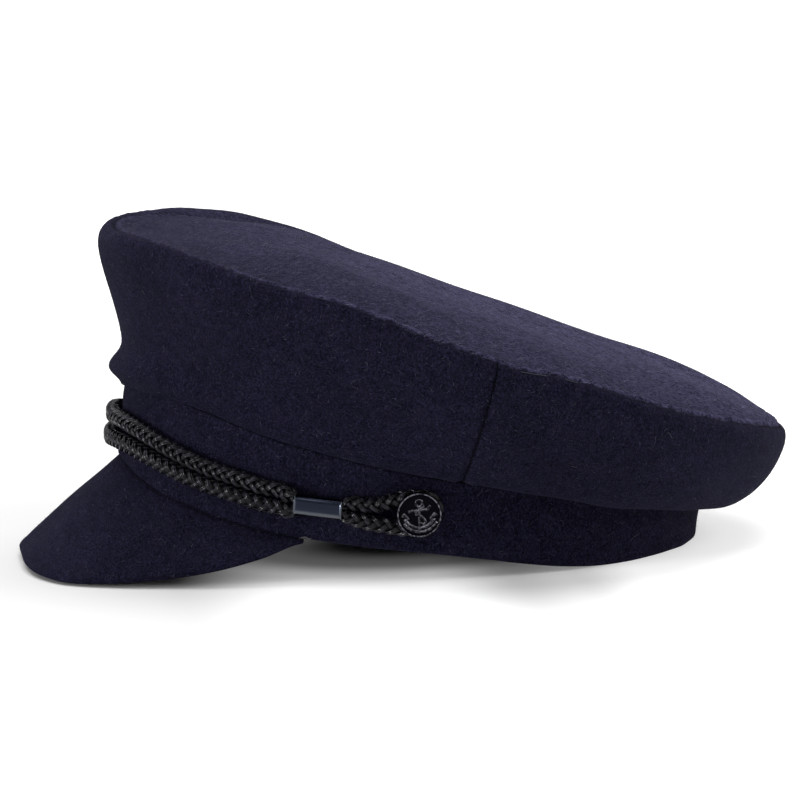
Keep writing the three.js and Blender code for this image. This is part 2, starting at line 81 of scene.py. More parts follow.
# Puff of the top panel along its middle from the front to the back, as shares of the crown's puff
TOP_PUFF = (0, 0.6, 1.33, 1.13, 1, 0.93, 0.91, 1.05, 1.3)
TOP_PUFF_POWER = 5

# The peak every 8 degrees from the front: reach as a share of its own, rim height as a share of the cap's
PEAK_STEP_DEG = 8
PEAK_OUTLINE = {
    "reach": (0.97, 1.0, 1.03, 0.995, 0.79, 0.55, 0.36, 0.19, 0.03),
    "rim": (0.033, 0.03, 0.025, 0.022, 0.027, 0.039, 0.06, 0.092, 0.13),
}

# The cord every 10 degrees from the front: height of its middle, and half the distance between its strands
CORD_STEP_DEG = 10
CORD_MIDDLE = (0.391, 0.393, 0.378, 0.345, 0.308, 0.274, 0.245)
CORD_SPREAD = (0.74, 0.73, 0.68, 0.64, 0.58, 0.57, 0.55)
SLEEVE_MIDDLE = 0.228
SLEEVE_DROP = 0.016
# Places along the sleeve from its front end at -1 to its back end at 1, and how full the cord is there
SQUEEZED_PLACES = ((-1.3, 1), (-1.1, 0.8), (-0.98, 0.25), (-0.5, 0), (0.5, 0), (0.98, 0.2), (1.1, 0.65))
# The cord behind the button: distances along the band and up in cord diameters
CORD_LOOP = ((-2.9, 0.58), (-1.9, 0.76), (-1, 0.96), (0, 1.0), (0.76, 0.72))
CORD_LOOP_END = 1.06

# The raised anchor in shares of the button's radius: strokes of a half width through points, Y up
ANCHOR_STROKES = (
    ("shank", 0.06, ((0, 0.36), (0, -0.6))),
    ("stock", 0.065, ((-0.44, 0.16), (0, 0.2), (0.36, 0.25), (0.47, 0.36))),
    ("left fluke", 0.075, ((-0.72, -0.02), (-0.66, 0.02), (-0.52, -0.16))),
    ("right fluke", 0.075, ((0.72, -0.02), (0.66, 0.02), (0.52, -0.16))),
    ("rope", 0.05, ((0.14, 0.5), (0.2, 0.36), (0.02, 0.24), (-0.16, 0.12), (-0.14, 0.02), (0.06, -0.04),
                    (0.18, -0.14), (0.28, -0.3), (0.18, -0.42), (0.06, -0.36))),
)
ANCHOR_ARCS = (
    ("arms", 0.075, (0, 0.12), 0.7, 205, 335),
    ("rope under the arms", 0.065, (0.03, 0.1), 0.85, 214, 330),
    ("eye", 0.055, (0, 0.52), 0.14, 0, 360),
)


def length(name, millimetres, description):
    """A length property with its default in millimetres."""
    return FloatProperty(name=name, description=description, default=millimetres * MM, min=0.0,
                         unit="LENGTH", subtype="DISTANCE", precision=5)


def colour(name, default, description):
    """A colour property."""
    return FloatVectorProperty(name=name, description=description, default=default, size=3, min=0.0,
                               max=1.0, subtype="COLOR")


class CapSizes(bpy.types.PropertyGroup):
    """Sizes of the cap."""

    cap_height: length("Cap height", 121, "Height that the side sections are shares of")
    band_half_width: length("Band half width", 85, "Half the width of the band outside")
    band_half_length: length("Band half length", 102, "Half the length of the band outside")
    band_wall: length("Band wall", 3, "Thickness of the band")
    band_lean: FloatProperty(name="Band lean", description="How far the band leans back",
                             default=math.radians(8), subtype="ANGLE")
    crown_half_width: length("Crown half width", 118, "Half the width of the crown seam")
    crown_half_length: length("Crown half length", 123, "Half the length of the crown seam")
    crown_tilt: FloatProperty(name="Crown tilt", description="How far the crown falls to the back",
                              default=math.radians(19.6), subtype="ANGLE")
    crown_setback: length("Crown setback", 16, "How far the crown's middle lies behind the band's")
    seam_height: length("Seam height", 79, "Height of the crown seam's middle")
    crown_puff: length("Crown puff", 7.9, "How far the top panel stands above its seam")
    cloth: length("Cloth", 1.8, "Thickness of the felted wool")
    seam_depth: length("Seam depth", 0.7, "Depth of the groove along a seam")
    peak_reach: length("Peak reach", 36.5, "How far the peak reaches from the band")
    peak_thickness: length("Peak thickness", 3.6, "Thickness of the stiffened peak")
    cord_diameter: length("Cord diameter", 5.2, "Diameter of one strand of the trim cord")
    braid_bulk: FloatProperty(name="Braid bulk", default=1.24, min=1.0,
                              description="How much fuller the braid is than the plain cord")
    braid_pitch: length("Braid pitch", 15.6, "Length of the cord in which a yarn turns once round it")
    ply_radius: length("Ply radius", 0.41, "Radius of one ply of a yarn")
    sleeve_length: length("Sleeve length", 16.8, "Length of the metal sleeve")
    sleeve_height: length("Sleeve height", 6.8, "Height of the metal sleeve")
    sleeve_depth: length("Sleeve depth", 6, "Depth of the metal sleeve")
    button_diameter: length("Button diameter", 15.3, "Diameter of the side button")
    button_thickness: length("Button thickness", 2.8, "Thickness of the side button's disc")
    relief_height: length("Relief height", 0.5, "Height of the anchor on the button")
    fuzz_density: FloatProperty(name="Fuzz density", description="Short fibres on a square centimetre",
                                default=30.0, min=0.0)
    fuzz_length: length("Fuzz length", 0.95, "Length of a short wool fibre")
    hair_density: FloatProperty(name="Hair density", description="Long fibres on a square centimetre",
                                default=0.3, min=0.0)
    hair_length: length("Hair length", 3.4, "Length of a long wool fibre")
    fibre_width: length("Fibre width", 0.06, "Width of a wool fibre")
    fibre_seed: IntProperty(name="Fibre seed", description="Seed of the fibres' places", default=RNG_SEED)


class CapColours(bpy.types.PropertyGroup):
    """Colours of the cap and its stage."""

    wool: colour("Wool", (0.0022, 0.002, 0.0058), "Ground of the felted wool")
    wool_light: colour("Light wool", (0.0128, 0.0128, 0.0312), "Raised fibres of the wool")
    wool_tint: colour("Wool tint", (0.0095, 0.0078, 0.0168), "Warmer patches of the wool")
    # The nap colours paint the top lighter, standing in for its sheen and the light from above
    nap: colour("Nap", (0.0068, 0.0058, 0.0155), "Ground of the brushed top")
    raised_nap_and_sheen: colour("Light nap", (0.082, 0.078, 0.151), "Raised nap of the top")
    wool_sheen: colour("Wool sheen", (0.4, 0.38, 0.72), "Soft shine of the nap seen at a low angle")
    fibre: colour("Fibre", (0.06, 0.06, 0.088), "Loose fibres on the wool")
    # A lighter copy of the fibre colour, painted light for the top
    nap_fibre: colour("Nap fibre", (0.15, 0.145, 0.21), "Loose fibres on the brushed top")
    braid: colour("Braid", (0.003, 0.003, 0.0062), "Yarns of the trim cord")
    # Colour of the painted highlight streaks along the plies' crests
    braid_painted_highlight: colour("Braid shine", (0.042, 0.042, 0.058), "Shiny filaments of the yarns")
    sleeve: colour("Sleeve", (0.0165, 0.02, 0.033), "Dark polished metal of the sleeves")
    # Colour of the painted reflections and highlights on the sleeves
    sleeve_painted_reflection: colour("Worn sleeve", (0.26, 0.28, 0.3), "Brighter metal of the sleeves' worn edges")
    button: colour("Button", (0.0004, 0.0004, 0.0016), "Glossy black of the buttons")
    # Colour of the painted highlights on the buttons' rim and relief
    button_painted_highlight: colour("Rubbed button", (0.46, 0.47, 0.54), "Rubbed high places of the buttons")
    thread: colour("Thread", (0.055, 0.055, 0.06), "Light thread ends and lint")
    floor: colour("Floor", (0.63, 0.63, 0.63), "Plain pale floor")


def sizes():
    """The sizes that the panel shows."""
    return bpy.context.scene.cap_sizes


def colours():
    """The colours that the panel shows."""
    return bpy.context.scene.cap_colours


# Shape of the cap

FOLD_RISE = 0.3 * MM
FOLD_OUT = 0.6 * MM
PEAK_DROP = 0.3 * MM
PEAK_TUCK = 1.4 * MM
PEAK_BOW = 1.2 * MM


def evenly(values, share):
    """Values at equal steps read smoothly at shares of their length, mirrored at both ends."""
    values = np.asarray(values, float)
    last = len(values) - 1
    place = np.clip(share, 0, 1) * last
    row = np.minimum(place.astype(int), last - 1)
    part = place - row
    padded = np.concatenate([values[1:2], values, values[-2:-1]])
    before, start, end, after = (padded[row + k] for k in range(4))
    return start + 0.5 * part * (end - before + part * (2 * before - 5 * start + 4 * end - after
                                                        + part * (3 * (start - end) + after - before)))


def folded(angle):
    """An angle from the front brought into half a turn to either side."""
    return np.arctan2(np.sin(angle), np.cos(angle))


def section(column, angle):
    """A length of the side sections at angles from the front."""
    return sizes().cap_height * evenly(SECTIONS[column], np.abs(folded(angle)) / math.pi)


def wave_at(waves, angle):
    """The sum of a table's waves at angles from the front."""
    total = np.zeros_like(angle)
    for at, wide, lift in waves:
        off = folded(angle - math.radians(at)) / math.radians(wide)
        total = total + sizes().cap_height * lift * np.exp(-off ** 2)
    return total


def stack(x, y, z):
    """Points from coordinates that are broadcast to one shape."""
    return np.stack(np.broadcast_arrays(x, y, z), axis=-1).astype(float)


def unit(vectors):
    """Vectors brought to length one."""
    return vectors / np.maximum(np.linalg.norm(vectors, axis=-1, keepdims=True), 1e-12)


def outward(angle):
    """The level direction straight out of the band."""
    size = sizes()
    return unit(stack(np.sin(angle) / size.band_half_width, -np.cos(angle) / size.band_half_length, 0.0))


def hem_height(angle):
    """Height of the band's lower edge."""
    return np.maximum(0, section("hem", angle))


def shift_y():
    """How far the frame moved the cap along Y, from the band's front edge."""
    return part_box("headband")[0][1] + sizes().band_half_length


def on_band(angle, height, out):
    """Points at a height and a distance out from the band's outer face."""
    size = sizes()
    lean = math.tan(size.band_lean) * (height - hem_height(angle))
    points = stack(size.band_half_width * np.sin(angle),
                   lean - size.band_half_length * np.cos(angle) + shift_y(), height)
    return points + outward(angle) * np.asarray(out)[..., None]


def on_seam(angle, waves=1.0):
    """Points of the crown seam with a share of its waves."""
    size = sizes()
    along = -size.crown_half_length * np.cos(angle)
    return stack(size.crown_half_width * np.sin(angle),
                 size.crown_setback + along * math.cos(size.crown_tilt) + shift_y(),
                 size.seam_height - along * math.sin(size.crown_tilt) + waves * wave_at(SEAM_WAVES, angle))


def seam_normal():
    """The direction square to the crown seam's plane."""
    return np.array((0, math.sin(sizes().crown_tilt), math.cos(sizes().crown_tilt)))


def crown_side(angle, share):
    """Points of the crown's side: share 0 is at the band and share 1 at the crown seam."""
    out = outward(angle)
    low = on_band(angle, section("band_top", angle) + FOLD_RISE, FOLD_OUT)
    high = on_seam(angle)
    rim = wave_at(RIM_WAVES, angle)[..., None]
    low_handle = low + out * section("lower_out", angle)[..., None]
    low_handle = low_handle + UP * section("lower_up", angle)[..., None]
    high_handle = high + out * (section("upper_out", angle)[..., None] + rim)
    high_handle = high_handle + UP * (section("upper_up", angle)[..., None] + rim)
    t = share[..., None]
    points = (low * (1 - t) ** 3 + 3 * low_handle * t * (1 - t) ** 2 + 3 * high_handle * t ** 2 * (1 - t)
              + high * t ** 3)
    roll = section("roll", angle) * np.exp(-((share - ROLL_AT) / ROLL_WIDE) ** 2)
    return points + out * roll[..., None]


def crown_top(angle, share):
    """Points of the top panel: share 0 is its middle and share 1 the crown seam."""
    size = sizes()
    middle = np.array((0, size.crown_setback + shift_y(), size.seam_height))
    fullness = evenly(TOP_PUFF, (1 - share * np.cos(angle)) / 2)
    puff = size.crown_puff * fullness * (1 - share ** TOP_PUFF_POWER)
    flat = (on_seam(angle, share ** 2) - middle) * share[..., None] + middle
    return flat + seam_normal() * puff[..., None]


def band_side(angle, share):
    """Points of the band's outer face from its hem to its top."""
    hem = hem_height(angle)
    return on_band(angle, hem + (section("band_top", angle) - hem) * share, 0.0)


def peak_face(angle, share):
    """Points of the peak's upper face: share 0 is tucked under the band and share 1 at the rim."""
    size = sizes()
    step = math.radians(PEAK_STEP_DEG) * (len(PEAK_OUTLINE["reach"]) - 1)
    reach = size.peak_reach * evenly(PEAK_OUTLINE["reach"], np.abs(angle) / step)
    rim = size.cap_height * evenly(PEAK_OUTLINE["rim"], np.abs(angle) / step)
    root = hem_height(angle) - PEAK_DROP
    points = on_band(angle, root, -PEAK_TUCK + (reach + PEAK_TUCK) * share)
    bow = PEAK_BOW * np.sin(share * math.pi) * reach / size.peak_reach
    points[..., 2] = root + (rim - root) * share + bow
    return points


# Meshes

def eased(first, last, count, ease=0.7):
    """Numbers from first to last, closer together towards both ends."""
    t = np.linspace(0, 1, count)
    return first + (last - first) * (t * (1 - ease) + ease * 0.5 * (1 - np.cos(math.pi * t)))


def surface_normals(grid):
    """Unit normals of a grid of points."""
    across = np.gradient(grid, axis=0)
    up = np.gradient(grid, axis=1)
    return unit(np.cross(across, up))


def ripples(points, wavelength, count=7, seed=RNG_SEED):
    """A smooth irregular field between about -1 and 1 with features of a wavelength."""
    rng = np.random.default_rng(seed)
    total = np.zeros(points.shape[:-1])
    for _ in range(count):
        wave = unit(rng.normal(size=3)) * 2 * math.pi / wavelength * rng.uniform(0.7, 1.4)
        total = total + np.sin(points @ wave + rng.uniform(0, 2 * math.pi))
    return total / math.sqrt(count)


def edge_distance(grid, axis, end):
    """Distance over the surface from one edge of a grid of points."""
    steps = np.linalg.norm(np.diff(grid, axis=axis), axis=-1)
    along = np.cumsum(steps, axis=axis)
    zero = np.zeros_like(np.take(along, [0], axis=axis))
    along = np.concatenate([zero, along], axis=axis)
    return np.take(along, [-1], axis=axis) - along if end else along


# Width of the painted shade along a seam
SEAM_SHADE = 0.5 * MM
# How firm the crown seam is at the least, on the far side, and where and over how much it grows firm; the
# firmness also scales the seam's painted shade and the painted light of the side's nap
FIRM_LEAST = 0.2
FIRM_FROM = 0.8
FIRM_OVER = 1.2
# Small folds beside a seam
PUCKER_LONG = 6.5 * MM
PUCKER_REACH = 5.0 * MM
PUCKER_HIGH = 0.18 * MM
GROOVE_WIDE = 0.8 * MM
RIDGE_AT = 3.4 * MM
RIDGE_WIDE = 1.8 * MM
RIDGE_SHARE = 0.3


def seam_profile(distance, depth):
    """Height of cloth beside a seam: a groove, then a low ridge over the turned edge."""
    groove = -depth * np.exp(-(distance / GROOVE_WIDE) ** 2)
    return groove + RIDGE_SHARE * depth * np.exp(-((distance - RIDGE_AT) / RIDGE_WIDE) ** 2)


def firmness(angle):
    """How crisp the crown seam is at angles from the front: firm on the near side, soft on the far side."""
    return FIRM_LEAST + (1 - FIRM_LEAST) * smooth_step((np.sin(angle) + FIRM_FROM) / FIRM_OVER)


def puckers(grid, distance):
    """Small folds that run out of a seam."""
    return PUCKER_HIGH * ripples(grid, PUCKER_LONG, seed=3) * np.exp(-distance / PUCKER_REACH)


def rounding(share):
    """How far a rounded edge falls away, from 0 to 1, at a share of the way to it."""
    return 1 - np.sqrt(np.clip(1 - share ** 2, 0, 1))


def add_piece(name, points, faces, material, smooth=True, marks=None):
    """A mesh object from points and faces, with named numbers for each point."""
    mesh = bpy.data.meshes.new(name)
    mesh.from_pydata(np.asarray(points).reshape(-1, 3).tolist(), [], faces)
    for key, values in (marks or {}).items():
        mesh.attributes.new(key, "FLOAT", "POINT").data.foreach_set("value", np.ravel(values))
    mesh.validate()
    if smooth:
        mesh.shade_smooth()
    mesh.materials.append(material)
    piece = bpy.data.objects.new(name, mesh)
    bpy.context.scene.collection.objects.link(piece)
    return piece


def finish_piece(piece, slot, *nodes):
    """A finished piece rides on the cap's body and stands for its CAD nodes."""
    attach(piece, BODY)
    if nodes:
        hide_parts(*nodes)


def ring_faces(rings, count, joined):
    """Quads between rings of points, each ring closed."""
    pieces = rings if joined else rings - 1
    i = np.arange(pieces)[:, None]
    j = np.arange(count)[None, :]
    a = i * count + j
    b = i * count + (j + 1) % count
    c = ((i + 1) % rings) * count + (j + 1) % count
    d = ((i + 1) % rings) * count + j
    return np.stack([a, b, c, d], axis=-1).reshape(-1, 4)


def volume(points, quads):
    """Signed volume inside a set of quads."""
    a, b, c, d = (points[quads[:, k]] for k in range(4))
    return (np.einsum("ij,ij->i", a, np.cross(b, c)) + np.einsum("ij,ij->i", a, np.cross(c, d))).sum() / 6


def faced_out(points, quads):
    """Quads turned so that they face out of the volume that they enclose."""
    return quads[:, ::-1] if volume(points, quads) < 0 else quads


def pole_faces(points, rings, count):
    """Faces of closed rings that end in a point each; the two points come after those of the rings."""
    quads = ring_faces(rings, count, False)
    turned = volume(points, quads) < 0
    faces = (quads[:, ::-1] if turned else quads).tolist()
    first_pole = rings * count
    for ring, pole, flip in ((0, first_pole, turned), (rings - 1, first_pole + 1, not turned)):
        for j in range(count):
            a = ring * count + j
            b = ring * count + (j + 1) % count
            faces.append([a, b, pole] if flip else [b, a, pole])
    return faces


def smooth_step(value):
    """A smooth rise from 0 to 1 while the value goes from 0 to 1."""
    t = np.clip(value, 0, 1)
    return t * t * (3 - 2 * t)


def crease(distance):
    """How deep a place lies in a seam, from 0 to 1, at a distance from the seam: the share of painted shade
    there.
    """
    return np.exp(-(distance / SEAM_SHADE) ** 2)


def shell(name, outer, inner, joined, material, shade, nap=0.0):
    """A closed cloth wall between outer and inner grids, with painted seam shade and a brushed nap and sheen
    mark.
    """
    rings = np.concatenate([outer, inner[:, ::-1]], axis=1)
    plain = np.zeros(shade.shape)
    marks = {"outside": np.concatenate([plain + 1, plain], axis=1),
             "crease": np.concatenate([shade, shade[:, ::-1]], axis=1),
             "nap": np.concatenate([plain + nap, plain], axis=1)}
    steps, count = rings.shape[:2]
    points = rings.reshape(-1, 3)
    quads = ring_faces(steps, count, joined)
    if not joined:
        half = count // 2
        j = np.arange(half - 1)
        first = np.stack([j, count - 1 - j, count - 2 - j, j + 1], axis=-1)
        last = first[:, ::-1] + (steps - 1) * count
        quads = np.concatenate([quads, first, last])
    return add_piece(name, points, faced_out(points, quads).tolist(), material, marks=marks)


# Shader helper

class Value:
    """A socket of a shader tree, so that its maths reads as a plain expression."""

    def __init__(self, look, socket):
        self.look = look
        self.socket = socket

    def maths(self, operation, first, second):
        """A Math node of two values."""
        return self.look.node("ShaderNodeMath", {"operation": operation}, {0: first, 1: second})

    def __add__(self, other):
        return self.maths("ADD", self, other)

    __radd__ = __add__

    def __sub__(self, other):
        return self.maths("SUBTRACT", self, other)

    def __rsub__(self, other):
        return self.maths("SUBTRACT", other, self)

    def __mul__(self, other):
        return self.maths("MULTIPLY", self, other)

    __rmul__ = __mul__


class Look:
    """A node material under construction."""

    def __init__(self, name):
        self.material = bpy.data.materials.new(name)
        self.material.use_nodes = True
        self.tree = self.material.node_tree
        self.shader = self.tree.nodes["Principled BSDF"]

    def node(self, kind, settings=None, inputs=None, output=0):
        """A node with its settings and the values or links of its sockets."""
        made = self.tree.nodes.new(kind)
        for key, value in (settings or {}).items():
            if key == "stops":
                self.set_stops(made.color_ramp, value)
            else:
                setattr(made, key, value)
        for key, value in (inputs or {}).items():
            self.feed(made.inputs[key], value)
        return Value(self, made.outputs[output])

    def set_stops(self, ramp, stops):
        """The stops of a grey ramp as (place, grey)."""
        while len(ramp.elements) < len(stops):
            ramp.elements.new(0.5)
        for element, (place, grey) in zip(ramp.elements, stops):
            element.position = place
            element.color = (grey, grey, grey, 1)

    def feed(self, socket, value):
        """A value or a link into a socket."""
        if isinstance(value, Value):
            self.tree.links.new(value.socket, socket)
        elif hasattr(value, "__len__") and len(value) == 3 and socket.type == "RGBA":
            socket.default_value = (*value, 1)
        else:
            socket.default_value = value

    def surface(self, **inputs):
        """Values or links of the surface shader, with spaces in names written as underscores."""
        for key, value in inputs.items():
            self.feed(self.shader.inputs[key.replace("_", " ")], value)
        return self.material

    def place(self):
        """Object coordinates in metres."""
        return self.node("ShaderNodeTexCoord", output="Object")

    def mark(self, name):
        """A number that the mesh stores for each point."""
        return self.node("ShaderNodeAttribute", {"attribute_name": name}, None, "Fac")

    def stretched(self, place, scale, turn=(0, 0, 0)):
        """Coordinates turned and scaled for a pattern."""
        return self.node("ShaderNodeMapping", None, {"Vector": place, "Rotation": turn, "Scale": scale})

    def noise(self, place, scale, detail, roughness=0.5, distortion=0.0):
        """A noise between 0 and 1."""
        return self.node("ShaderNodeTexNoise", None, {
            "Vector": place, "Scale": scale, "Detail": detail, "Roughness": roughness,
            "Distortion": distortion}, "Fac")

    def ramp(self, value, *stops):
        """A value through a grey ramp."""
        return self.node("ShaderNodeValToRGB", {"stops": stops}, {"Fac": value})

    def blend(self, share, first, second, kind="MIX"):
        """A mix of two colours, or their product."""
        return self.node("ShaderNodeMix", {"data_type": "RGBA", "blend_type": kind},
                         {0: share, 6: first, 7: second}, 2)

    def bump(self, height, distance, strength):
        """A bump from a height field."""
        return self.node("ShaderNodeBump", None,
                         {"Height": height, "Distance": distance, "Strength": strength}, "Normal")


# How high each surface's bumps are
WOOL_BUMP = 0.6 * MM
BRAID_BUMP = 0.08 * MM
METAL_BUMP = 0.01 * MM
# Features of each pattern on a metre
WOOL_CLOUDS = 45
WOOL_PATCHES = 230
WOOL_STREAKS = 640
WOOL_TUFTS = 820
WOOL_GRAIN = 1400
BRAID_WORN = 260
BRAID_FILAMENTS = 2700
SLEEVE_SMUDGES = 300
SLEEVE_BRUSHING = 4000
BUTTON_MARKS = 700
BUTTON_PATCHES = 900
THREAD_TWIST = 6000
FLOOR_CLOUDS = 12


def darker(tone, share):
    """A share of a colour."""
    return tuple(c * share for c in tone)


def wool_look():
    """Felted wool: a dark ground with lighter raised fibres, and brushed nap with painted sheen where the
    mesh says so.
    """
    tone = colours()
    look = Look("felted_wool")
    place = look.place()
    nap = look.mark("nap")
    patches = look.noise(place, WOOL_PATCHES, 3, 0.65)
    grain = look.noise(place, WOOL_GRAIN, 2, 0.8, 0.6)
    tufts = look.noise(look.stretched(place, (1, 1, 0.4), (0.5, 0.3, 0.9)), WOOL_TUFTS, 3, 0.75, 2.5)
    streaks = look.noise(look.stretched(place, (0.8, 0.7, 1)), WOOL_STREAKS, 4, 0.85, 0.9)
    clouds = look.noise(place, WOOL_CLOUDS, 3, 0.6)
    felted = look.ramp(grain * 0.65 + tufts * 0.35, (0.46, 0.0), (0.6, 1.0))
    brushed = look.ramp(streaks * 0.8 + tufts * 0.2, (0.45, 0.0), (0.57, 1.0))
    raised = felted * (1 - nap) + brushed * nap
    # The nap mark picks the brushed pattern and the brighter nap colours, which are painted sheen and light
    body = look.blend(raised * (patches * 1.2 + 0.4), look.blend(nap, tone.wool, tone.nap),
                      look.blend(nap, tone.wool_light, tone.raised_nap_and_sheen))
    warm = look.ramp(patches, (0.42, 0.0), (0.62, 0.35)) * (1 - nap * 0.6)
    tinted = look.blend(warm, body, tone.wool_tint)
    # Random darker clouds, times painted shade along the seams
    shade = look.ramp(clouds, (0.3, 0.75), (0.7, 1.0)) * (1 - look.mark("crease") * 0.85)
    base = look.blend(1.0, tinted, shade, "MULTIPLY")
    height = grain * 0.6 + tufts * 0.4 + streaks * nap * 0.5
    return look.surface(Base_Color=base, Roughness=0.95, Specular_IOR_Level=0.025, Sheen_Weight=0.035,
                        Sheen_Roughness=0.35, Sheen_Tint=(*tone.wool_sheen, 1),
                        Normal=look.bump(height, WOOL_BUMP, 1.0))


def fibre_look(name, light):
    """Loose wool fibres, some lighter than others."""
    look = Look(name)
    base = look.blend(look.mark("tone"), darker(light, 0.2), light)
    return look.surface(Base_Color=base, Roughness=0.9, Specular_IOR_Level=0.06)


def braid_look():
    """Shiny black yarn with fine filaments and painted highlight streaks along each ply's crest; rougher and
    dark with painted shade where the yarns dive under.
    """
    look = Look("braid_yarn")
    place = look.node("ShaderNodeAttribute", {"attribute_name": "yarn"}, None, "Vector")
    filaments = look.noise(look.stretched(place, (1, 1, 0.14)), BRAID_FILAMENTS, 2, 0.6, 0.4)
    worn = look.noise(look.place(), BRAID_WORN, 3, 0.6)
    # The crest mark puts painted highlights on the yarns' tops and painted shade where they dive under
    crest = look.ramp(look.mark("crest"), (0.35, 0.0), (0.85, 1.0))
    painted_streaks = look.ramp(filaments, (0.53, 0.0), (0.66, 1.0)) * look.ramp(worn, (0.35, 0.3), (0.65, 1.0))
    base = look.blend(painted_streaks * crest, darker(colours().braid, 0.5), colours().braid_painted_highlight)
    rough = look.ramp(worn, (0.3, 0.15), (0.7, 0.27)) * crest + 0.6 * (1 - crest)
    return look.surface(Base_Color=base, Roughness=rough, Specular_IOR_Level=0.2,
                        Normal=look.bump(filaments, BRAID_BUMP, 0.8))


def sleeve_look():
    """Dark polished metal with fine brushing along the sleeve, and painted reflections in bands and on the
    lips.
    """
    look = Look("sleeve_metal")
    place = look.place()
    brushed = look.noise(look.stretched(place, (0.06, 0.06, 1), (0.1, 0.2, 0)), SLEEVE_BRUSHING, 3, 0.6)
    smudge = look.noise(place, SLEEVE_SMUDGES, 3, 0.6)
    rough = look.ramp(smudge, (0.3, 0.16), (0.75, 0.3))
    base = look.blend(look.mark("wear") * (smudge * 0.6 + 0.7), colours().sleeve, colours().sleeve_painted_reflection)
    return look.surface(Base_Color=base, Metallic=1.0, Roughness=rough,
                        Normal=look.bump(brushed, METAL_BUMP, 0.4))


def button_look():
    """Glossy black enamel with painted highlights, as bare metal, in patches on the rim and on relief slopes
    facing the light.
    """
    look = Look("button_gloss")
    marks = look.noise(look.place(), BUTTON_MARKS, 4, 0.6)
    patches = look.noise(look.place(), BUTTON_PATCHES, 2, 0.6)
    glinting = look.mark("wear") * look.ramp(patches, (0.43, 0.12), (0.57, 1.0))
    base = look.blend(glinting, colours().button, colours().button_painted_highlight)
    rough = look.ramp(marks, (0.35, 0.08), (0.8, 0.18))
    return look.surface(Base_Color=base, Roughness=rough, Metallic=glinting, Specular_IOR_Level=0.02,
                        Normal=look.bump(marks, METAL_BUMP, 0.3))


def thread_look():
    """Light sewing thread."""
    look = Look("light_thread")
    twist = look.noise(look.place(), THREAD_TWIST, 2)
    base = look.blend(twist, darker(colours().thread, 0.5), colours().thread)
    return look.surface(Base_Color=base, Roughness=0.8)


# Cloth pieces

CROWN_STEPS = 300
SIDE_STEPS = 72
SIDE_SEAM_TOP = math.radians(90)
SIDE_SEAM_LOW = math.radians(92.2)
TOP_STEPS = 300
TOP_RINGS = 46
BAND_STEPS = 360
BAND_SIDE_STEPS = 34
PEAK_STEPS = 220
PEAK_DEPTH_STEPS = 44
PEAK_END = math.radians(63.3)
PEAK_END_THINNING = 0.6
PEAK_RIM_ROUNDING = 0.3
PEAK_BEVEL = 1.6 * MM
HEM_BEND = 1.4 * MM
HEM_ROUNDING = 1.1 * MM
# How much less the hem is rounded where the peak meets it, and over what angle that begins
HEM_AT_PEAK = 0.6
HEM_AT_PEAK_FADE = math.radians(2)
# How dark the painted shade is where the band meets the crown and the peak
BAND_SHADE = 0.5
# Depth of the crown seam's groove on the side and on the top, and how wide its painted shade is there
SIDE_GROOVE = 0.8
TOP_GROOVE = 0.7
SIDE_SHADE = 2.7
TOP_SHADE = 1.6
# Soft waves of each cloth: height and length, and how far from its edges they are full
SIDE_WAVES = (0.35 * MM, 38 * MM)
TOP_WAVES = (0.4 * MM, 45 * MM)
BAND_WAVES = (0.25 * MM, 22 * MM)
PEAK_WAVES = (0.15 * MM, 26 * MM)
CROWN_WAVES_FULL = 12 * MM
BAND_WAVES_FULL = 4 * MM
PEAK_WAVES_FULL = 6 * MM
# The lip of the top panel's turned edge, and the painted highlight on it
EDGE_LIP = 0.45 * MM
EDGE_LIP_AT = 1.5 * MM
EDGE_LIP_WIDE = 0.8 * MM
EDGE_LIP_UNEVEN = 0.5
EDGE_LIP_LONG = 5 * MM
EDGE_LIP_HIGHLIGHT = 0.4
# The brushed nap and its painted sheen grow from their least at the front to full at the back, and fade
# towards the edge and the near side
NAP_SHEEN_FRONT = -100 * MM
NAP_SHEEN_BACK = 30 * MM
NAP_SHEEN_LEAST = 0.4
NAP_SHEEN_EDGE = 7 * MM
NAP_SHEEN_EDGE_FADE = 0.25
NAP_SHEEN_NEAR = 105 * MM
NAP_SHEEN_NEAR_FADE = 0.42
# Nap and painted light of the crown's side where it faces up, on the soft far part of the seam
SIDE_NAP_SHEEN = 1.3
SIDE_NAP_SHEEN_STEEP = 0.6
SIDE_NAP_SHEEN_SOFT = 1.1


def soft_waves(grid, size, seed):
    """Soft waves of the cloth from their height and length."""
    height, long = size
    return height * ripples(grid, long, seed=seed)


def crown_panel(name, middle, material):
    """One half of the crown's side, from one side seam to the other."""
    size = sizes()
    shares = eased(0, 1, SIDE_STEPS)
    across = eased(-1, 1, CROWN_STEPS, 0.4)
    seam = SIDE_SEAM_LOW + (SIDE_SEAM_TOP - SIDE_SEAM_LOW) * shares
    half = seam if middle == 0 else math.pi - seam
    angle = middle + across[:, None] * half[None, :]
    grid = crown_side(angle, np.broadcast_to(shares, angle.shape))
    out = surface_normals(grid)
    if np.sum(out * outward(angle)) < 0:
        out = -out
    crown_gap = edge_distance(grid, 1, True)
    side_gap = np.minimum(edge_distance(grid, 0, False), edge_distance(grid, 0, True))
    firm = firmness(angle)
    height = firm * seam_profile(crown_gap, size.seam_depth * SIDE_GROOVE)
    height = height + seam_profile(side_gap, size.seam_depth)
    height = height + puckers(grid, crown_gap) + puckers(grid, side_gap)
    inside = np.clip(crown_gap / CROWN_WAVES_FULL, 0, 1) * np.clip(side_gap / CROWN_WAVES_FULL, 0, 1)
    height = height + soft_waves(grid, SIDE_WAVES, 5) * inside
    outer = grid + out * height[..., None]
    shade = np.maximum(firm * crease(crown_gap / SIDE_SHADE), crease(side_gap))
    nap = NAP_SHEEN_LEAST * SIDE_NAP_SHEEN * smooth_step(out[..., 2] / SIDE_NAP_SHEEN_STEEP) * (SIDE_NAP_SHEEN_SOFT - firm)
    return shell(name, outer, grid - out * size.cloth, False, material, shade, nap)


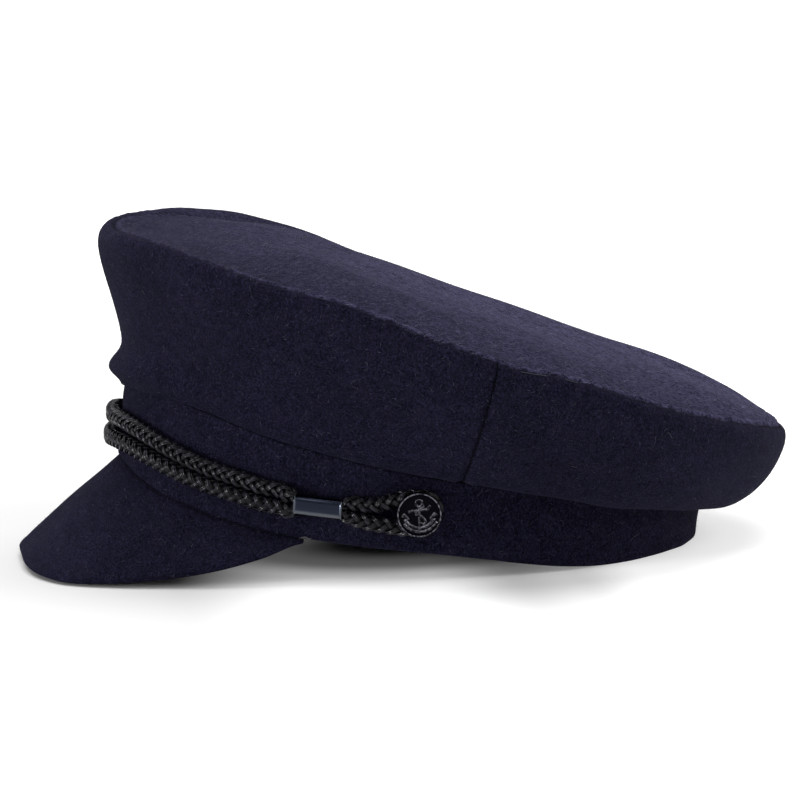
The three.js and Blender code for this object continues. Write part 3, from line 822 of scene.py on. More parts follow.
def top_panel(material):
    """The crown's top panel as rings from its middle to the seam."""
    size = sizes()
    shares = np.sin(np.linspace(0.01, 1, TOP_RINGS) * math.pi / 2)
    angle = np.linspace(0, 2 * math.pi, TOP_STEPS, endpoint=False)
    grid = crown_top(angle[:, None] + 0 * shares, np.broadcast_to(shares, (TOP_STEPS, TOP_RINGS)))
    gap = edge_distance(grid, 1, True)
    firm = firmness(angle)[:, None]
    height = firm * seam_profile(gap, size.seam_depth * TOP_GROOVE) + puckers(grid, gap)
    lip = EDGE_LIP * (1 + EDGE_LIP_UNEVEN * ripples(grid, EDGE_LIP_LONG, seed=17))
    on_lip = np.exp(-((gap - EDGE_LIP_AT) / EDGE_LIP_WIDE) ** 2)
    height = height + lip * on_lip
    height = height + soft_waves(grid, TOP_WAVES, 9) * np.clip(gap / CROWN_WAVES_FULL, 0, 1)
    outer = grid + seam_normal() * height[..., None]
    inner = grid - seam_normal() * size.cloth
    rings = np.concatenate([outer.transpose(1, 0, 2), inner.transpose(1, 0, 2)[::-1]])
    steps = len(rings)
    points = np.concatenate([rings.reshape(-1, 3), rings[0].mean(0)[None], rings[-1].mean(0)[None]])
    shade = (firm * crease(gap * TOP_SHADE)).T
    # The nap mark: brushed streaks with painted sheen, lighter to the back, darker near the edge and the
    # near side
    nap = NAP_SHEEN_LEAST + (1 - NAP_SHEEN_LEAST) * smooth_step((grid[..., 1] - NAP_SHEEN_FRONT) / (NAP_SHEEN_BACK - NAP_SHEEN_FRONT))
    nap = nap * (1 - NAP_SHEEN_EDGE_FADE * np.exp(-gap / NAP_SHEEN_EDGE))
    nap = nap * (1 - NAP_SHEEN_NEAR_FADE * smooth_step(grid[..., 0] / NAP_SHEEN_NEAR))
    nap = (nap + EDGE_LIP_HIGHLIGHT * on_lip).T
    marks = {"outside": np.append(np.repeat((1.0, 0.0), shade.size), (1.0, 0.0)),
             "crease": np.append(np.concatenate([shade, shade[::-1]]), (0.0, 0.0)),
             "nap": np.append(np.concatenate([nap, np.zeros_like(nap)]), (nap[0].mean(), 0.0))}
    return add_piece("crown_top_wool", points, pole_faces(points, steps, TOP_STEPS), material, marks=marks)


def band_ring(material):
    """The band with a rounded hem."""
    size = sizes()
    angle = np.linspace(0, 2 * math.pi, BAND_STEPS, endpoint=False)
    shares = eased(0, 1, BAND_SIDE_STEPS)
    spread = angle[:, None] + 0 * shares
    grid = band_side(spread, np.broadcast_to(shares, spread.shape))
    out = outward(spread)
    hem_gap = edge_distance(grid, 1, False)
    top_gap = edge_distance(grid, 1, True)
    under_peak = 1 / (1 + np.exp((np.abs(folded(spread)) - PEAK_END) / HEM_AT_PEAK_FADE))
    hem_bend = 1 - np.clip(hem_gap / HEM_BEND, 0, 1)
    hem_round = HEM_ROUNDING * rounding(hem_bend) * (1 - under_peak * HEM_AT_PEAK)
    height = soft_waves(grid, BAND_WAVES, 11) - hem_round
    height = height * np.clip(top_gap / BAND_WAVES_FULL, 0, 1)
    outer = grid + out * height[..., None]
    inner = grid - out * (size.band_wall - hem_round)[..., None]
    shade = np.maximum(crease(top_gap) * BAND_SHADE, crease(hem_gap) * under_peak * BAND_SHADE)
    return shell("headband_wool", outer, inner, True, material, shade)


def peak_shell(material):
    """The peak: upper face, rounded rim and lower face, never under the surface it rests on."""
    size = sizes()
    angle = eased(-PEAK_END, PEAK_END, PEAK_STEPS, 0.4)
    shares = eased(0, 1, PEAK_DEPTH_STEPS, 0.6)
    spread = angle[:, None] + 0 * shares
    grid = peak_face(spread, np.broadcast_to(shares, spread.shape))
    grid[..., 2] += PEAK_DROP * np.clip(1 - shares * 6, 0, 1)
    down = surface_normals(grid)
    if down[..., 2].sum() > 0:
        down = -down
    thickness = size.peak_thickness * (1 - PEAK_END_THINNING * (spread / PEAK_END) ** 8)
    rim_gap = edge_distance(grid, 1, True)
    bevel = np.clip(1 - rim_gap / PEAK_BEVEL, 0, 1)
    drop = thickness * 0.5 * rounding(bevel)
    wobble = soft_waves(grid, PEAK_WAVES, 13) * np.clip(rim_gap / PEAK_WAVES_FULL, 0, 1)
    upper = grid + down * (drop - wobble)[..., None]
    lower = grid + down * (thickness - drop)[..., None]
    bulge = outward(spread) * (thickness * PEAK_RIM_ROUNDING * bevel)[..., None]
    upper = upper + bulge
    lower = lower + bulge
    upper[..., 2] = np.maximum(upper[..., 2], 0)
    lower[..., 2] = np.maximum(lower[..., 2], 0)
    root_gap = edge_distance(grid, 1, False) - PEAK_TUCK
    shade = crease(np.maximum(root_gap, 0)) * BAND_SHADE
    return shell("peak_wool", upper, lower, False, material, shade)


# Geometry nodes helper

class Nodes:
    """A geometry node tree under construction, with named inputs."""

    def __init__(self, name):
        self.tree = bpy.data.node_groups.new(name, "GeometryNodeTree")
        self.tree.interface.new_socket("Geometry", in_out="INPUT", socket_type="NodeSocketGeometry")
        self.tree.interface.new_socket("Geometry", in_out="OUTPUT", socket_type="NodeSocketGeometry")
        self.source = self.tree.nodes.new("NodeGroupInput")
        self.sink = self.tree.nodes.new("NodeGroupOutput")

    def input(self, name, kind, default):
        """A named input of the tree and its default."""
        item = self.tree.interface.new_socket(name, in_out="INPUT", socket_type=kind)
        item.default_value = default
        return self.source.outputs[name]

    def node(self, kind, settings=None, inputs=None, output=0):
        """A node with its settings and the values or links of its sockets."""
        made = self.tree.nodes.new(kind)
        for key, value in (settings or {}).items():
            setattr(made, key, value)
        for key, value in (inputs or {}).items():
            if isinstance(value, bpy.types.NodeSocket):
                self.tree.links.new(value, made.inputs[key])
            else:
                made.inputs[key].default_value = value
        return made.outputs[output]

    def finish(self, geometry, material):
        """The tree's end: real geometry with a material."""
        real = self.node("GeometryNodeRealizeInstances", None, {"Geometry": geometry})
        named = self.node("GeometryNodeSetMaterial", None, {"Geometry": real, "Material": material})
        self.tree.links.new(named, self.sink.inputs[0])
        return self.tree


def grown(name, source, tree, values):
    """A plain mesh object that a node tree makes from a source object."""
    modifier = source.modifiers.new(tree.name, "NODES")
    modifier.node_group = tree
    inputs = [item for item in tree.interface.items_tree if item.in_out == "INPUT"]
    identifiers = {item.name: item.identifier for item in inputs}
    for key, value in values.items():
        modifier[identifiers[key]] = value
    evaluated = source.evaluated_get(bpy.context.evaluated_depsgraph_get())
    mesh = bpy.data.meshes.new_from_object(evaluated)
    source.modifiers.remove(modifier)
    mesh.name = name
    piece = bpy.data.objects.new(name, mesh)
    bpy.context.scene.collection.objects.link(piece)
    return piece


# Greatest lift of short and long fibres in radians, and how those of the combed top differ: they are longer,
# and the short ones turn less from the way of the comb
FUZZ_LIFT = 0.5
HAIR_LIFT = 0.35
COMBED_SPREAD = 0.7
COMBED_LONGER = 1.7
COMB_WAY = (0.0, 1.0, -0.35)
# The bend of a fibre as the middle of its arch, and the least and greatest share of its length
FIBRE_BEND = (0.5, 0.16, 0.12)
FIBRE_SHARES = (0.45, 1.5)
# How few fibres are light: a power of an even chance
FIBRE_TONE_POWER = 2.5


def fibre_tree(material):
    """Curved flat fibres strewn over a surface, lying nearly flat, with a random tone each."""
    nodes = Nodes("wool_fibres")
    density = nodes.input("Density", "NodeSocketFloat", 100000.0)
    span = nodes.input("Length", "NodeSocketFloat", 0.002)
    width = nodes.input("Width", "NodeSocketFloat", 0.0001)
    spread = nodes.input("Spread", "NodeSocketFloat", math.pi)
    lift = nodes.input("Lift", "NodeSocketFloat", 0.6)
    seed = nodes.input("Seed", "NodeSocketInt", RNG_SEED)
    outside = nodes.node("GeometryNodeInputNamedAttribute", {"data_type": "FLOAT"}, {"Name": "outside"})
    scatter = nodes.node("GeometryNodeDistributePointsOnFaces", {"distribute_method": "RANDOM"},
                         {"Mesh": nodes.source.outputs["Geometry"], "Density": density, "Seed": seed,
                          "Selection": outside})
    normal = scatter.node.outputs["Normal"]
    arch = nodes.node("GeometryNodeCurveQuadraticBezier", None, {
        "Resolution": 3, "Start": (0, 0, 0), "Middle": FIBRE_BEND, "End": (1, 0, 0)})
    ribbon = nodes.node("GeometryNodeCurvePrimitiveLine", None,
                        {"Start": (-0.5, 0, 0), "End": (0.5, 0, 0)})
    flat = nodes.node("GeometryNodeTransform", None, {"Geometry": ribbon})
    thin = nodes.node("ShaderNodeMath", {"operation": "DIVIDE"}, {0: width, 1: span})
    scale = nodes.node("ShaderNodeCombineXYZ", None, {"X": thin, "Y": thin, "Z": thin})
    nodes.tree.links.new(scale, flat.node.inputs["Scale"])
    fibre = nodes.node("GeometryNodeCurveToMesh", None, {"Curve": arch, "Profile Curve": flat})
    upright = nodes.node("FunctionNodeAlignRotationToVector", {"axis": "Z"}, {"Vector": normal})
    along = nodes.node("FunctionNodeAlignRotationToVector", {"axis": "X", "pivot_axis": "Z"},
                       {"Rotation": upright, "Vector": COMB_WAY})
    low = nodes.node("ShaderNodeMath", {"operation": "MULTIPLY"}, {0: spread, 1: -1.0})
    turn = nodes.node("FunctionNodeRandomValue", {"data_type": "FLOAT"},
                      {2: low, 3: spread, "Seed": seed}, 1)
    raised = nodes.node("FunctionNodeRandomValue", {"data_type": "FLOAT"},
                        {2: 0.0, 3: lift, "ID": nodes.node("GeometryNodeInputIndex"), "Seed": 21}, 1)
    pitch = nodes.node("ShaderNodeMath", {"operation": "MULTIPLY"}, {0: raised, 1: -1.0})
    euler = nodes.node("ShaderNodeCombineXYZ", None, {"X": 0.0, "Y": pitch, "Z": turn})
    tilt = nodes.node("FunctionNodeEulerToRotation", None, {"Euler": euler})
    turned = nodes.node("FunctionNodeRotateRotation", {"rotation_space": "LOCAL"},
                        {"Rotation": along, "Rotate By": tilt})
    least, greatest = FIBRE_SHARES
    share = nodes.node("FunctionNodeRandomValue", {"data_type": "FLOAT"},
                       {2: least, 3: greatest, "Seed": 5}, 1)
    reach = nodes.node("ShaderNodeMath", {"operation": "MULTIPLY"}, {0: share, 1: span})
    strewn = nodes.node("GeometryNodeInstanceOnPoints", None, {
        "Points": scatter, "Instance": fibre, "Rotation": turned, "Scale": reach})
    chance = nodes.node("FunctionNodeRandomValue", {"data_type": "FLOAT"}, {2: 0.0, 3: 1.0, "Seed": 8}, 1)
    tone = nodes.node("ShaderNodeMath", {"operation": "POWER"}, {0: chance, 1: FIBRE_TONE_POWER})
    marked = nodes.node("GeometryNodeStoreNamedAttribute", {"data_type": "FLOAT", "domain": "INSTANCE"},
                        {"Geometry": strewn, "Name": "tone", "Value": tone})
    return nodes.finish(marked, material)


def yarn_tree(material):
    """Round plies swept along paths, with coordinates across and along each ply."""
    nodes = Nodes("braid_plies")
    radius = nodes.input("Radius", "NodeSocketFloat", 0.0005)
    sides = nodes.input("Sides", "NodeSocketInt", 6)
    path = nodes.node("GeometryNodeMeshToCurve", None, {"Mesh": nodes.source.outputs["Geometry"]})
    place = nodes.node("GeometryNodeSplineParameter", output="Length")
    marked = nodes.node("GeometryNodeStoreNamedAttribute", {"data_type": "FLOAT", "domain": "POINT"},
                        {"Geometry": path, "Name": "along", "Value": place})
    squeeze = nodes.node("GeometryNodeInputNamedAttribute", {"data_type": "FLOAT"}, {"Name": "squeeze"})
    circle = nodes.node("GeometryNodeCurvePrimitiveCircle", {"mode": "RADIUS"},
                        {"Resolution": sides, "Radius": radius})
    where = nodes.node("GeometryNodeInputPosition")
    marked_circle = nodes.node("GeometryNodeStoreNamedAttribute",
                               {"data_type": "FLOAT_VECTOR", "domain": "POINT"},
                               {"Geometry": circle, "Name": "round", "Value": where})
    tube = nodes.node("GeometryNodeCurveToMesh", None,
                      {"Curve": marked, "Profile Curve": marked_circle, "Scale": squeeze})
    around = nodes.node("GeometryNodeInputNamedAttribute", {"data_type": "FLOAT_VECTOR"}, {"Name": "round"})
    along = nodes.node("GeometryNodeInputNamedAttribute", {"data_type": "FLOAT"}, {"Name": "along"})
    lengthwise = nodes.node("ShaderNodeCombineXYZ", None, {"Z": along})
    both = nodes.node("ShaderNodeVectorMath", {"operation": "ADD"}, {0: around, 1: lengthwise})
    stored = nodes.node("GeometryNodeStoreNamedAttribute", {"data_type": "FLOAT_VECTOR", "domain": "POINT"},
                        {"Geometry": tube, "Name": "yarn", "Value": both})
    smooth = nodes.node("GeometryNodeSetShadeSmooth", None, {"Geometry": stored})
    return nodes.finish(smooth, material)


# Cord, sleeves and buttons

PIECE_GAP = 0.3 * MM
CORD_SAMPLES = 0.58 * MM
CORD_DEGREES = (*range(0, 60, 5), 59)
PLY_SIDES = 6
PLIES = (-2.0, 0, 2.0)
PLY_WANDER = 0.05 * MM
PLY_WANDER_LONG = 7 * MM
PLY_SLACK_LONG = 11 * MM
PLY_SINK = 0.1 * MM
YARNS_EACH_WAY = 4
YARN_SWELL = 0.72 * MM
SLEEVE_CENTRE = math.radians(66.4)
SLEEVE_STEPS = 96
SLEEVE_WALL = 0.5 * MM
SLEEVE_CORNER = 2.1 * MM
SLEEVE_PLAY = 0.4 * MM
SLEEVE_LIP = 0.22 * MM
# Bands of painted reflection along the sleeve: angle round its section in degrees, and how bright they and
# the lips' painted highlights are
SLEEVE_LOW_BAND = 322
SLEEVE_HIGH_BAND = 36
SLEEVE_BAND_WIDE = 26
SLEEVE_LOW_REFLECTION = 0.3
SLEEVE_HIGH_REFLECTION = 0.015
SLEEVE_LIP_HIGHLIGHT = 0.2
BUTTON_ANGLE = math.radians(84.8)
BUTTON_HEIGHT = 24.8 * MM
BUTTON_STEPS = 220
BUTTON_RINGS = 92
BUTTON_RIM = 0.7 * MM
# Painted highlight on the button's rim
BUTTON_RIM_HIGHLIGHT = 0.25
# The side that the light comes from, and how bright the painted highlights are on the relief's flat tops and
# on its slopes that face that side
LIT_SIDE = (0.3, 1.0, 0.15)
FLAT_HIGHLIGHT = 0.09
SLOPE_HIGHLIGHT = 2.4


def angle_along(angle, distance):
    """The angle round the band at a distance from another angle."""
    size = sizes()
    pace = math.hypot(size.band_half_width * math.cos(angle), size.band_half_length * math.sin(angle))
    return angle + distance / pace


def sleeve_stop(place):
    """Angle, height and distance out of a place along the left sleeve, from -1 to 1."""
    size = sizes()
    half = angle_along(SLEEVE_CENTRE, size.sleeve_length / 2) - SLEEVE_CENTRE
    return (SLEEVE_CENTRE + place * half, size.cap_height * (SLEEVE_MIDDLE - SLEEVE_DROP / 2 * place),
            size.sleeve_depth / 2 + 2 * PIECE_GAP)


def strand_stops(up):
    """One strand from the front to the button: angle, height, distance out, half height, half depth."""
    size = sizes()
    diameter = size.cord_diameter
    half = diameter / 2
    out = half + PIECE_GAP
    stops = []
    for degrees in CORD_DEGREES:
        angle = math.radians(degrees)
        share = degrees / CORD_STEP_DEG / (len(CORD_MIDDLE) - 1)
        middle = size.cap_height * float(evenly(CORD_MIDDLE, np.float64(share)))
        spread = diameter * float(evenly(CORD_SPREAD, np.float64(share)))
        stops.append((angle, middle + up * spread, out, half, half))
    room = size.sleeve_height / 2 - SLEEVE_WALL - SLEEVE_PLAY
    squeezed = (room - PIECE_GAP / 2) / 2
    for place, fullness in SQUEEZED_PLACES:
        angle, height, depth = sleeve_stop(place)
        high = squeezed + (half - squeezed) * fullness
        stops.append((angle, height + up * (high + PIECE_GAP / 2), depth, high, half))
    for along, spread in CORD_LOOP:
        stops.append((angle_along(BUTTON_ANGLE, along * diameter), BUTTON_HEIGHT + up * spread * diameter,
                      out, half, half))
    return stops


def smooth_loop(rows, step):
    """A closed smooth path through rows whose first three columns are a point, at about equal steps."""
    rows = np.asarray(rows, float)
    count = len(rows)
    chord = np.sqrt(np.linalg.norm(np.diff(np.vstack([rows, rows[:1]])[:, :3], axis=0), axis=1))
    before = np.roll(rows, 1, axis=0)
    after = np.roll(rows, -1, axis=0)
    chord_before = np.roll(chord, 1)
    slope = ((rows - before) / chord_before[:, None] * chord[:, None]
             + (after - rows) / chord[:, None] * chord_before[:, None]) / (chord + chord_before)[:, None]
    fine = []
    for i in range(count):
        following = (i + 1) % count
        t = np.linspace(0, 1, 60, endpoint=False)[:, None]
        reach = chord[i]
        stretch = rows[i] * (2 * t ** 3 - 3 * t ** 2 + 1)
        stretch = stretch + slope[i] * reach * (t ** 3 - 2 * t ** 2 + t)
        stretch = stretch + rows[following] * (3 * t ** 2 - 2 * t ** 3)
        fine.append(stretch + slope[following] * reach * (t ** 3 - t ** 2))
    fine = np.vstack(fine)
    closed = np.vstack([fine, fine[:1]])
    travelled = np.concatenate([[0], np.cumsum(np.linalg.norm(np.diff(closed[:, :3], axis=0), axis=1))])
    total = travelled[-1]
    places = np.linspace(0, total, int(round(total / step)), endpoint=False)
    columns = [np.interp(places, travelled, column) for column in closed.T]
    return np.stack(columns, axis=1), total


def cord_path():
    """The closed course of the trim cord: points, half height and half depth, and its length."""
    size = sizes()
    half = size.cord_diameter / 2
    end = (angle_along(BUTTON_ANGLE, CORD_LOOP_END * size.cord_diameter), BUTTON_HEIGHT, half + PIECE_GAP,
           half, half)
    upper = strand_stops(1)
    lower = strand_stops(-1)

    def mirror(stop):
        return (-stop[0], *stop[1:])

    stops = (upper + [end] + lower[:0:-1] + [mirror(stop) for stop in lower] + [mirror(end)]
             + [mirror(stop) for stop in upper[:0:-1]])
    stops = np.array(stops)
    points = on_band(stops[:, 0], stops[:, 1], stops[:, 2])
    return smooth_loop(np.hstack([points, stops[:, 3:]]), CORD_SAMPLES)


def cord_frames(path):
    """Directions ahead, sideways and out at each place of the cord."""
    size = sizes()
    ahead = unit(np.roll(path[:, :3], -1, axis=0) - np.roll(path[:, :3], 1, axis=0))
    angle = np.arctan2(path[:, 0] / size.band_half_width, -(path[:, 1] - shift_y()) / size.band_half_length)
    side = unit(np.cross(ahead, outward(angle)))
    return ahead, side, np.cross(side, ahead)


def plies():
    """Centre lines of the braid's plies, how high each place lies from 0 to 1, and how full the cord is."""
    size = sizes()
    path, total = cord_path()
    ahead, side, out = cord_frames(path)
    turns = round(total / size.braid_pitch)
    wind = np.linspace(0, 2 * math.pi * turns, len(path), endpoint=False)
    half = size.cord_diameter / 2 * size.braid_bulk
    middle = half - size.ply_radius - YARN_SWELL
    high = path[:, 3] / (size.cord_diameter / 2)
    deep = path[:, 4] / (size.cord_diameter / 2)
    lines = []
    crests = []
    for way in (1, -1):
        for yarn in range(YARNS_EACH_WAY):
            offset = yarn * 2 * math.pi / YARNS_EACH_WAY + (math.pi / 4 if way < 0 else 0)
            turn = way * wind + offset
            radius = middle - way * YARN_SWELL * np.sin(2 * turn)
            for ply in PLIES:
                loose = PLY_WANDER * ripples(path[:, :3], PLY_WANDER_LONG, seed=len(lines))
                slack = PLY_WANDER * ripples(path[:, :3], PLY_SLACK_LONG, seed=100 + len(lines))
                shifted = turn + way * (ply * size.ply_radius + slack) / (middle + YARN_SWELL)
                rise = radius + loose - abs(ply) * PLY_SINK
                across = side * (rise * high * np.cos(shifted))[:, None]
                lines.append(path[:, :3] + across + out * (rise * deep * np.sin(shifted))[:, None])
                crests.append(0.5 - 0.5 * way * np.sin(2 * turn))
    return lines, crests, np.sqrt(high * deep)


def braid(name, keep, material):
    """A part of the braid as swept plies; keep says which places belong to it."""
    lines, crests, squeeze = plies()
    points = []
    edges = []
    scales = []
    heights = []
    for line, crest in zip(lines, crests):
        chosen = keep(line)
        index = np.flatnonzero(chosen)
        number = {int(place): len(points) + k for k, place in enumerate(index)}
        points.extend(line[index].tolist())
        scales.extend(squeeze[index].tolist())
        heights.extend(crest[index].tolist())
        for place in index:
            following = (int(place) + 1) % len(line)
            if following in number:
                edges.append((number[int(place)], number[following]))
    mesh = bpy.data.meshes.new(name + "_paths")
    mesh.from_pydata(points, edges, [])
    mesh.attributes.new("squeeze", "FLOAT", "POINT").data.foreach_set("value", scales)
    mesh.attributes.new("crest", "FLOAT", "POINT").data.foreach_set("value", heights)
    source = bpy.data.objects.new(name + "_paths", mesh)
    bpy.context.scene.collection.objects.link(source)
    piece = grown(name, source, yarn_tree(material), {"Radius": sizes().ply_radius, "Sides": PLY_SIDES})
    bpy.data.objects.remove(source)
    return piece


def mirror_x(points):
    """Points on the other side of the cap."""
    return points * np.array((-1, 1, 1))


def sleeve():
    """The left sleeve: a flattened tube with rounded corners and a slightly rolled lip at each end."""
    size = sizes()
    stops = [on_band(*(np.float64(v) for v in sleeve_stop(place))) for place in (-1, 0, 1)]
    along = unit(stops[2] - stops[0])
    centre = (stops[0] + stops[2]) / 4 + stops[1] / 2
    out = outward(np.float64(SLEEVE_CENTRE))
    up = unit(np.cross(out, along))
    if up[2] < 0:
        up = -up
    out = unit(np.cross(along, up))
    if out @ outward(np.float64(SLEEVE_CENTRE)) < 0:
        out = -out
    turns = np.linspace(0, 2 * math.pi, SLEEVE_STEPS, endpoint=False)
    box = np.stack([np.sign(np.cos(turns)) * (size.sleeve_depth / 2 - SLEEVE_CORNER),
                    np.sign(np.sin(turns)) * (size.sleeve_height / 2 - SLEEVE_CORNER)], axis=1)
    ray = np.stack([np.cos(turns), np.sin(turns)], axis=1)
    half = size.sleeve_length / 2
    lip = SLEEVE_LIP
    profile = [(-half + 0.1 * MM, -SLEEVE_WALL), (-half, -SLEEVE_WALL / 2), (-half, lip / 2),
               (-half + 0.15 * MM, lip), (-half + 0.45 * MM, lip), (-half + 0.7 * MM, lip * 0.3),
               (-half + 0.95 * MM, 0)]
    profile = profile + [(-x, r) for x, r in profile[::-1]]
    rings = []
    for x, grow in profile:
        flat = box + ray * (SLEEVE_CORNER + grow)
        rings.append(centre + along * x + flat[:, :1] * out + flat[:, 1:] * up)
    rings = np.array(rings)
    points = rings.reshape(-1, 3)
    quads = faced_out(points, ring_faces(len(rings), len(turns), True))
    # Painted reflections in two bands round the section, and painted highlights on the rolled lips
    bands = np.zeros(len(turns))
    for middle, worn in ((SLEEVE_LOW_BAND, SLEEVE_LOW_REFLECTION), (SLEEVE_HIGH_BAND, SLEEVE_HIGH_REFLECTION)):
        bands = bands + worn * np.exp(-((np.degrees(turns) - middle) / SLEEVE_BAND_WIDE) ** 4)
    wear = np.array([np.maximum(bands, min(max(grow, 0) / lip, 1) * SLEEVE_LIP_HIGHLIGHT) for _, grow in profile])
    return points, quads, wear


def stroke_height(places, stroke, half):
    """Height from 0 to 1 of a half-round stroke through points."""
    best = np.full(len(places), np.inf)
    for start, end in zip(stroke[:-1], stroke[1:]):
        start = np.array(start, float)
        end = np.array(end, float)
        along = end - start
        share = np.clip((places - start) @ along / (along @ along), 0, 1)
        best = np.minimum(best, np.linalg.norm(places - start - share[:, None] * along, axis=1))
    return np.sqrt(np.clip(1 - (best / half) ** 2, 0, 1))


def arc_height(places, centre, radius, start, end, half):
    """Height from 0 to 1 of a half-round arc."""
    off = places - np.array(centre, float)
    turn = np.degrees(np.arctan2(off[:, 1], off[:, 0])) % 360
    inside = (turn >= start) & (turn <= end)
    best = np.where(inside, np.abs(np.linalg.norm(off, axis=1) - radius), np.inf)
    return np.sqrt(np.clip(1 - (best / half) ** 2, 0, 1))


def relief_highlight(face, height):
    """How bright the painted highlight is on a raised design: most on its slopes that face the light, up and
    outward.
    """
    normals = surface_normals(face)
    normals = normals * np.sign(normals[..., 2:])
    upward = np.clip(normals @ unit(np.array(LIT_SIDE)), 0, 1)
    return np.clip(height * 1.5, 0, 1) * (FLAT_HIGHLIGHT + SLOPE_HIGHLIGHT * upward ** 3)


def button():
    """The left button: a disc with a raised rim and a cast anchor, on a plain shank."""
    size = sizes()
    radius = size.button_diameter / 2
    back = size.cord_diameter + 2 * PIECE_GAP
    front = back + size.button_thickness
    rim = BUTTON_RIM
    floor = front - size.relief_height - 0.1 * MM
    turns = np.linspace(0, 2 * math.pi, BUTTON_STEPS, endpoint=False)
    inner = np.linspace(0.01, 1, BUTTON_RINGS) * (radius - rim * 1.5)
    rows = [(r, floor) for r in inner]
    for k in range(1, 9):
        swing = k / 8 * math.pi
        if k <= 4:
            rise = floor + (front - floor) * math.sin(swing)
        else:
            rise = front - rim * 0.55 * (1 - math.sin(swing))
        rows.append((radius - rim * 0.75 - 0.75 * rim * math.cos(swing), rise))
    rows += [(radius, back + rim), (radius - rim * 0.4, back + rim * 0.3), (radius - rim, back),
             (1.5 * MM, back), (1.5 * MM, PIECE_GAP), (0.02 * MM, PIECE_GAP)]
    rings = np.array([[(r * math.cos(t), r * math.sin(t), z) for t in turns] for r, z in rows])
    face = rings[:len(inner)]
    places = face[..., :2].reshape(-1, 2) / radius
    height = np.zeros(len(places))
    for _, half, stroke in ANCHOR_STROKES:
        height = np.maximum(height, stroke_height(places, stroke, half))
    for _, half, centre, bend, start, end in ANCHOR_ARCS:
        height = np.maximum(height, arc_height(places, centre, bend, start, end, half))
    face[..., 2] += size.relief_height * height.reshape(face.shape[:2])
    out = outward(np.float64(BUTTON_ANGLE))
    right = np.cross(UP, out)
    seat = on_band(np.float64(BUTTON_ANGLE), np.float64(BUTTON_HEIGHT), 0.0)
    points = seat + rings[..., :1] * right + rings[..., 1:2] * UP + rings[..., 2:] * out
    flat = np.vstack([points.reshape(-1, 3), points[0].mean(0), points[-1].mean(0)])
    glinting = np.zeros(rings.shape[:2])
    glinting[:len(inner)] = relief_highlight(face, height.reshape(face.shape[:2]))
    # A painted highlight ring on the rim
    glinting[len(inner) + 3:len(inner) + 5] = BUTTON_RIM_HIGHLIGHT
    return flat, pole_faces(flat, len(rings), len(turns)), np.append(glinting, (0.0, 0.0))


# Threads and lint

# Threads that show in the crown seam: first and last angle in degrees, share up the crown's side
SEAM_THREADS = ((94.0, 98.4, 0.947), (101.4, 103.6, 0.953))
# Ends of the thread that tacks the peak's corner: first angle in degrees, height over the hem, length, bend
TACK_ENDS = ((62.4, 0.1, 5.2, 0.25), (62.7, 0.3, 4.6, -0.2), (63.0, 0.5, 3.6, 0.1), (62.9, 0.0, 4.2, 0.4),
             (63.6, 0.7, 2.2, -0.5))
# Lint on the crown's side: angle in degrees, share up the side, heading in degrees, length in mm, bend
LINT = ((43.5, 0.965, 100, 3.4, 1.6), (45.5, 0.99, 40, 2.6, -2.2), (24, 0.52, 70, 2.4, 2.5),
        (122, 0.74, 95, 4.0, 1.9), (71, 0.6, 20, 2.2, -2.0), (108, 0.45, 150, 2.4, 1.4),
        (150, 0.6, 60, 2.6, -1.8))
THREAD_RADIUS = 0.06 * MM
TACK_RADIUS_SHARE = 1.3
LINT_RADIUS = 0.045 * MM
LINT_LIFT = 0.3 * MM
# A small step along a surface, to find its directions: an angle in radians or a share
SMALL_STEP = 0.01


TUBE_SIDES = 6
TUBE_SIDE = np.array((0.0, 0.13, 1.0))


def tube(path, radius):
    """Points and faces of a thin round tube along a path, closed at both ends."""
    sides = TUBE_SIDES
    path = np.asarray(path, float)
    ahead = unit(np.gradient(path, axis=0))
    side = unit(np.cross(ahead, TUBE_SIDE))
    above = np.cross(side, ahead)
    turns = np.linspace(0, 2 * math.pi, sides, endpoint=False)[None, :, None]
    rings = path[:, None] + radius * (np.cos(turns) * side[:, None] + np.sin(turns) * above[:, None])
    points = rings.reshape(-1, 3)
    quads = ring_faces(len(path), sides, False)
    if volume(points, quads) < 0:
        quads = quads[:, ::-1]
        ends = [list(range(sides)), list(range(len(points) - 1, len(points) - sides - 1, -1))]
    else:
        ends = [list(range(sides))[::-1], list(range(len(points) - sides, len(points)))]
    return points, quads.tolist() + ends


def curl(place, right, up, out, heading, span, bend):
    """A bent path that starts at a place and lies in the plane of two directions, with its middle raised."""
    t = np.linspace(0, 1, 12)
    turn = math.radians(heading) + bend * t + 0.5 * np.sin(t * 7)
    steps = np.cos(turn)[:, None] * right + np.sin(turn)[:, None] * up
    raised = out * (LINT_LIFT * np.sin(t * math.pi))[:, None]
    return place + np.cumsum(steps, axis=0) * span / len(t) + raised


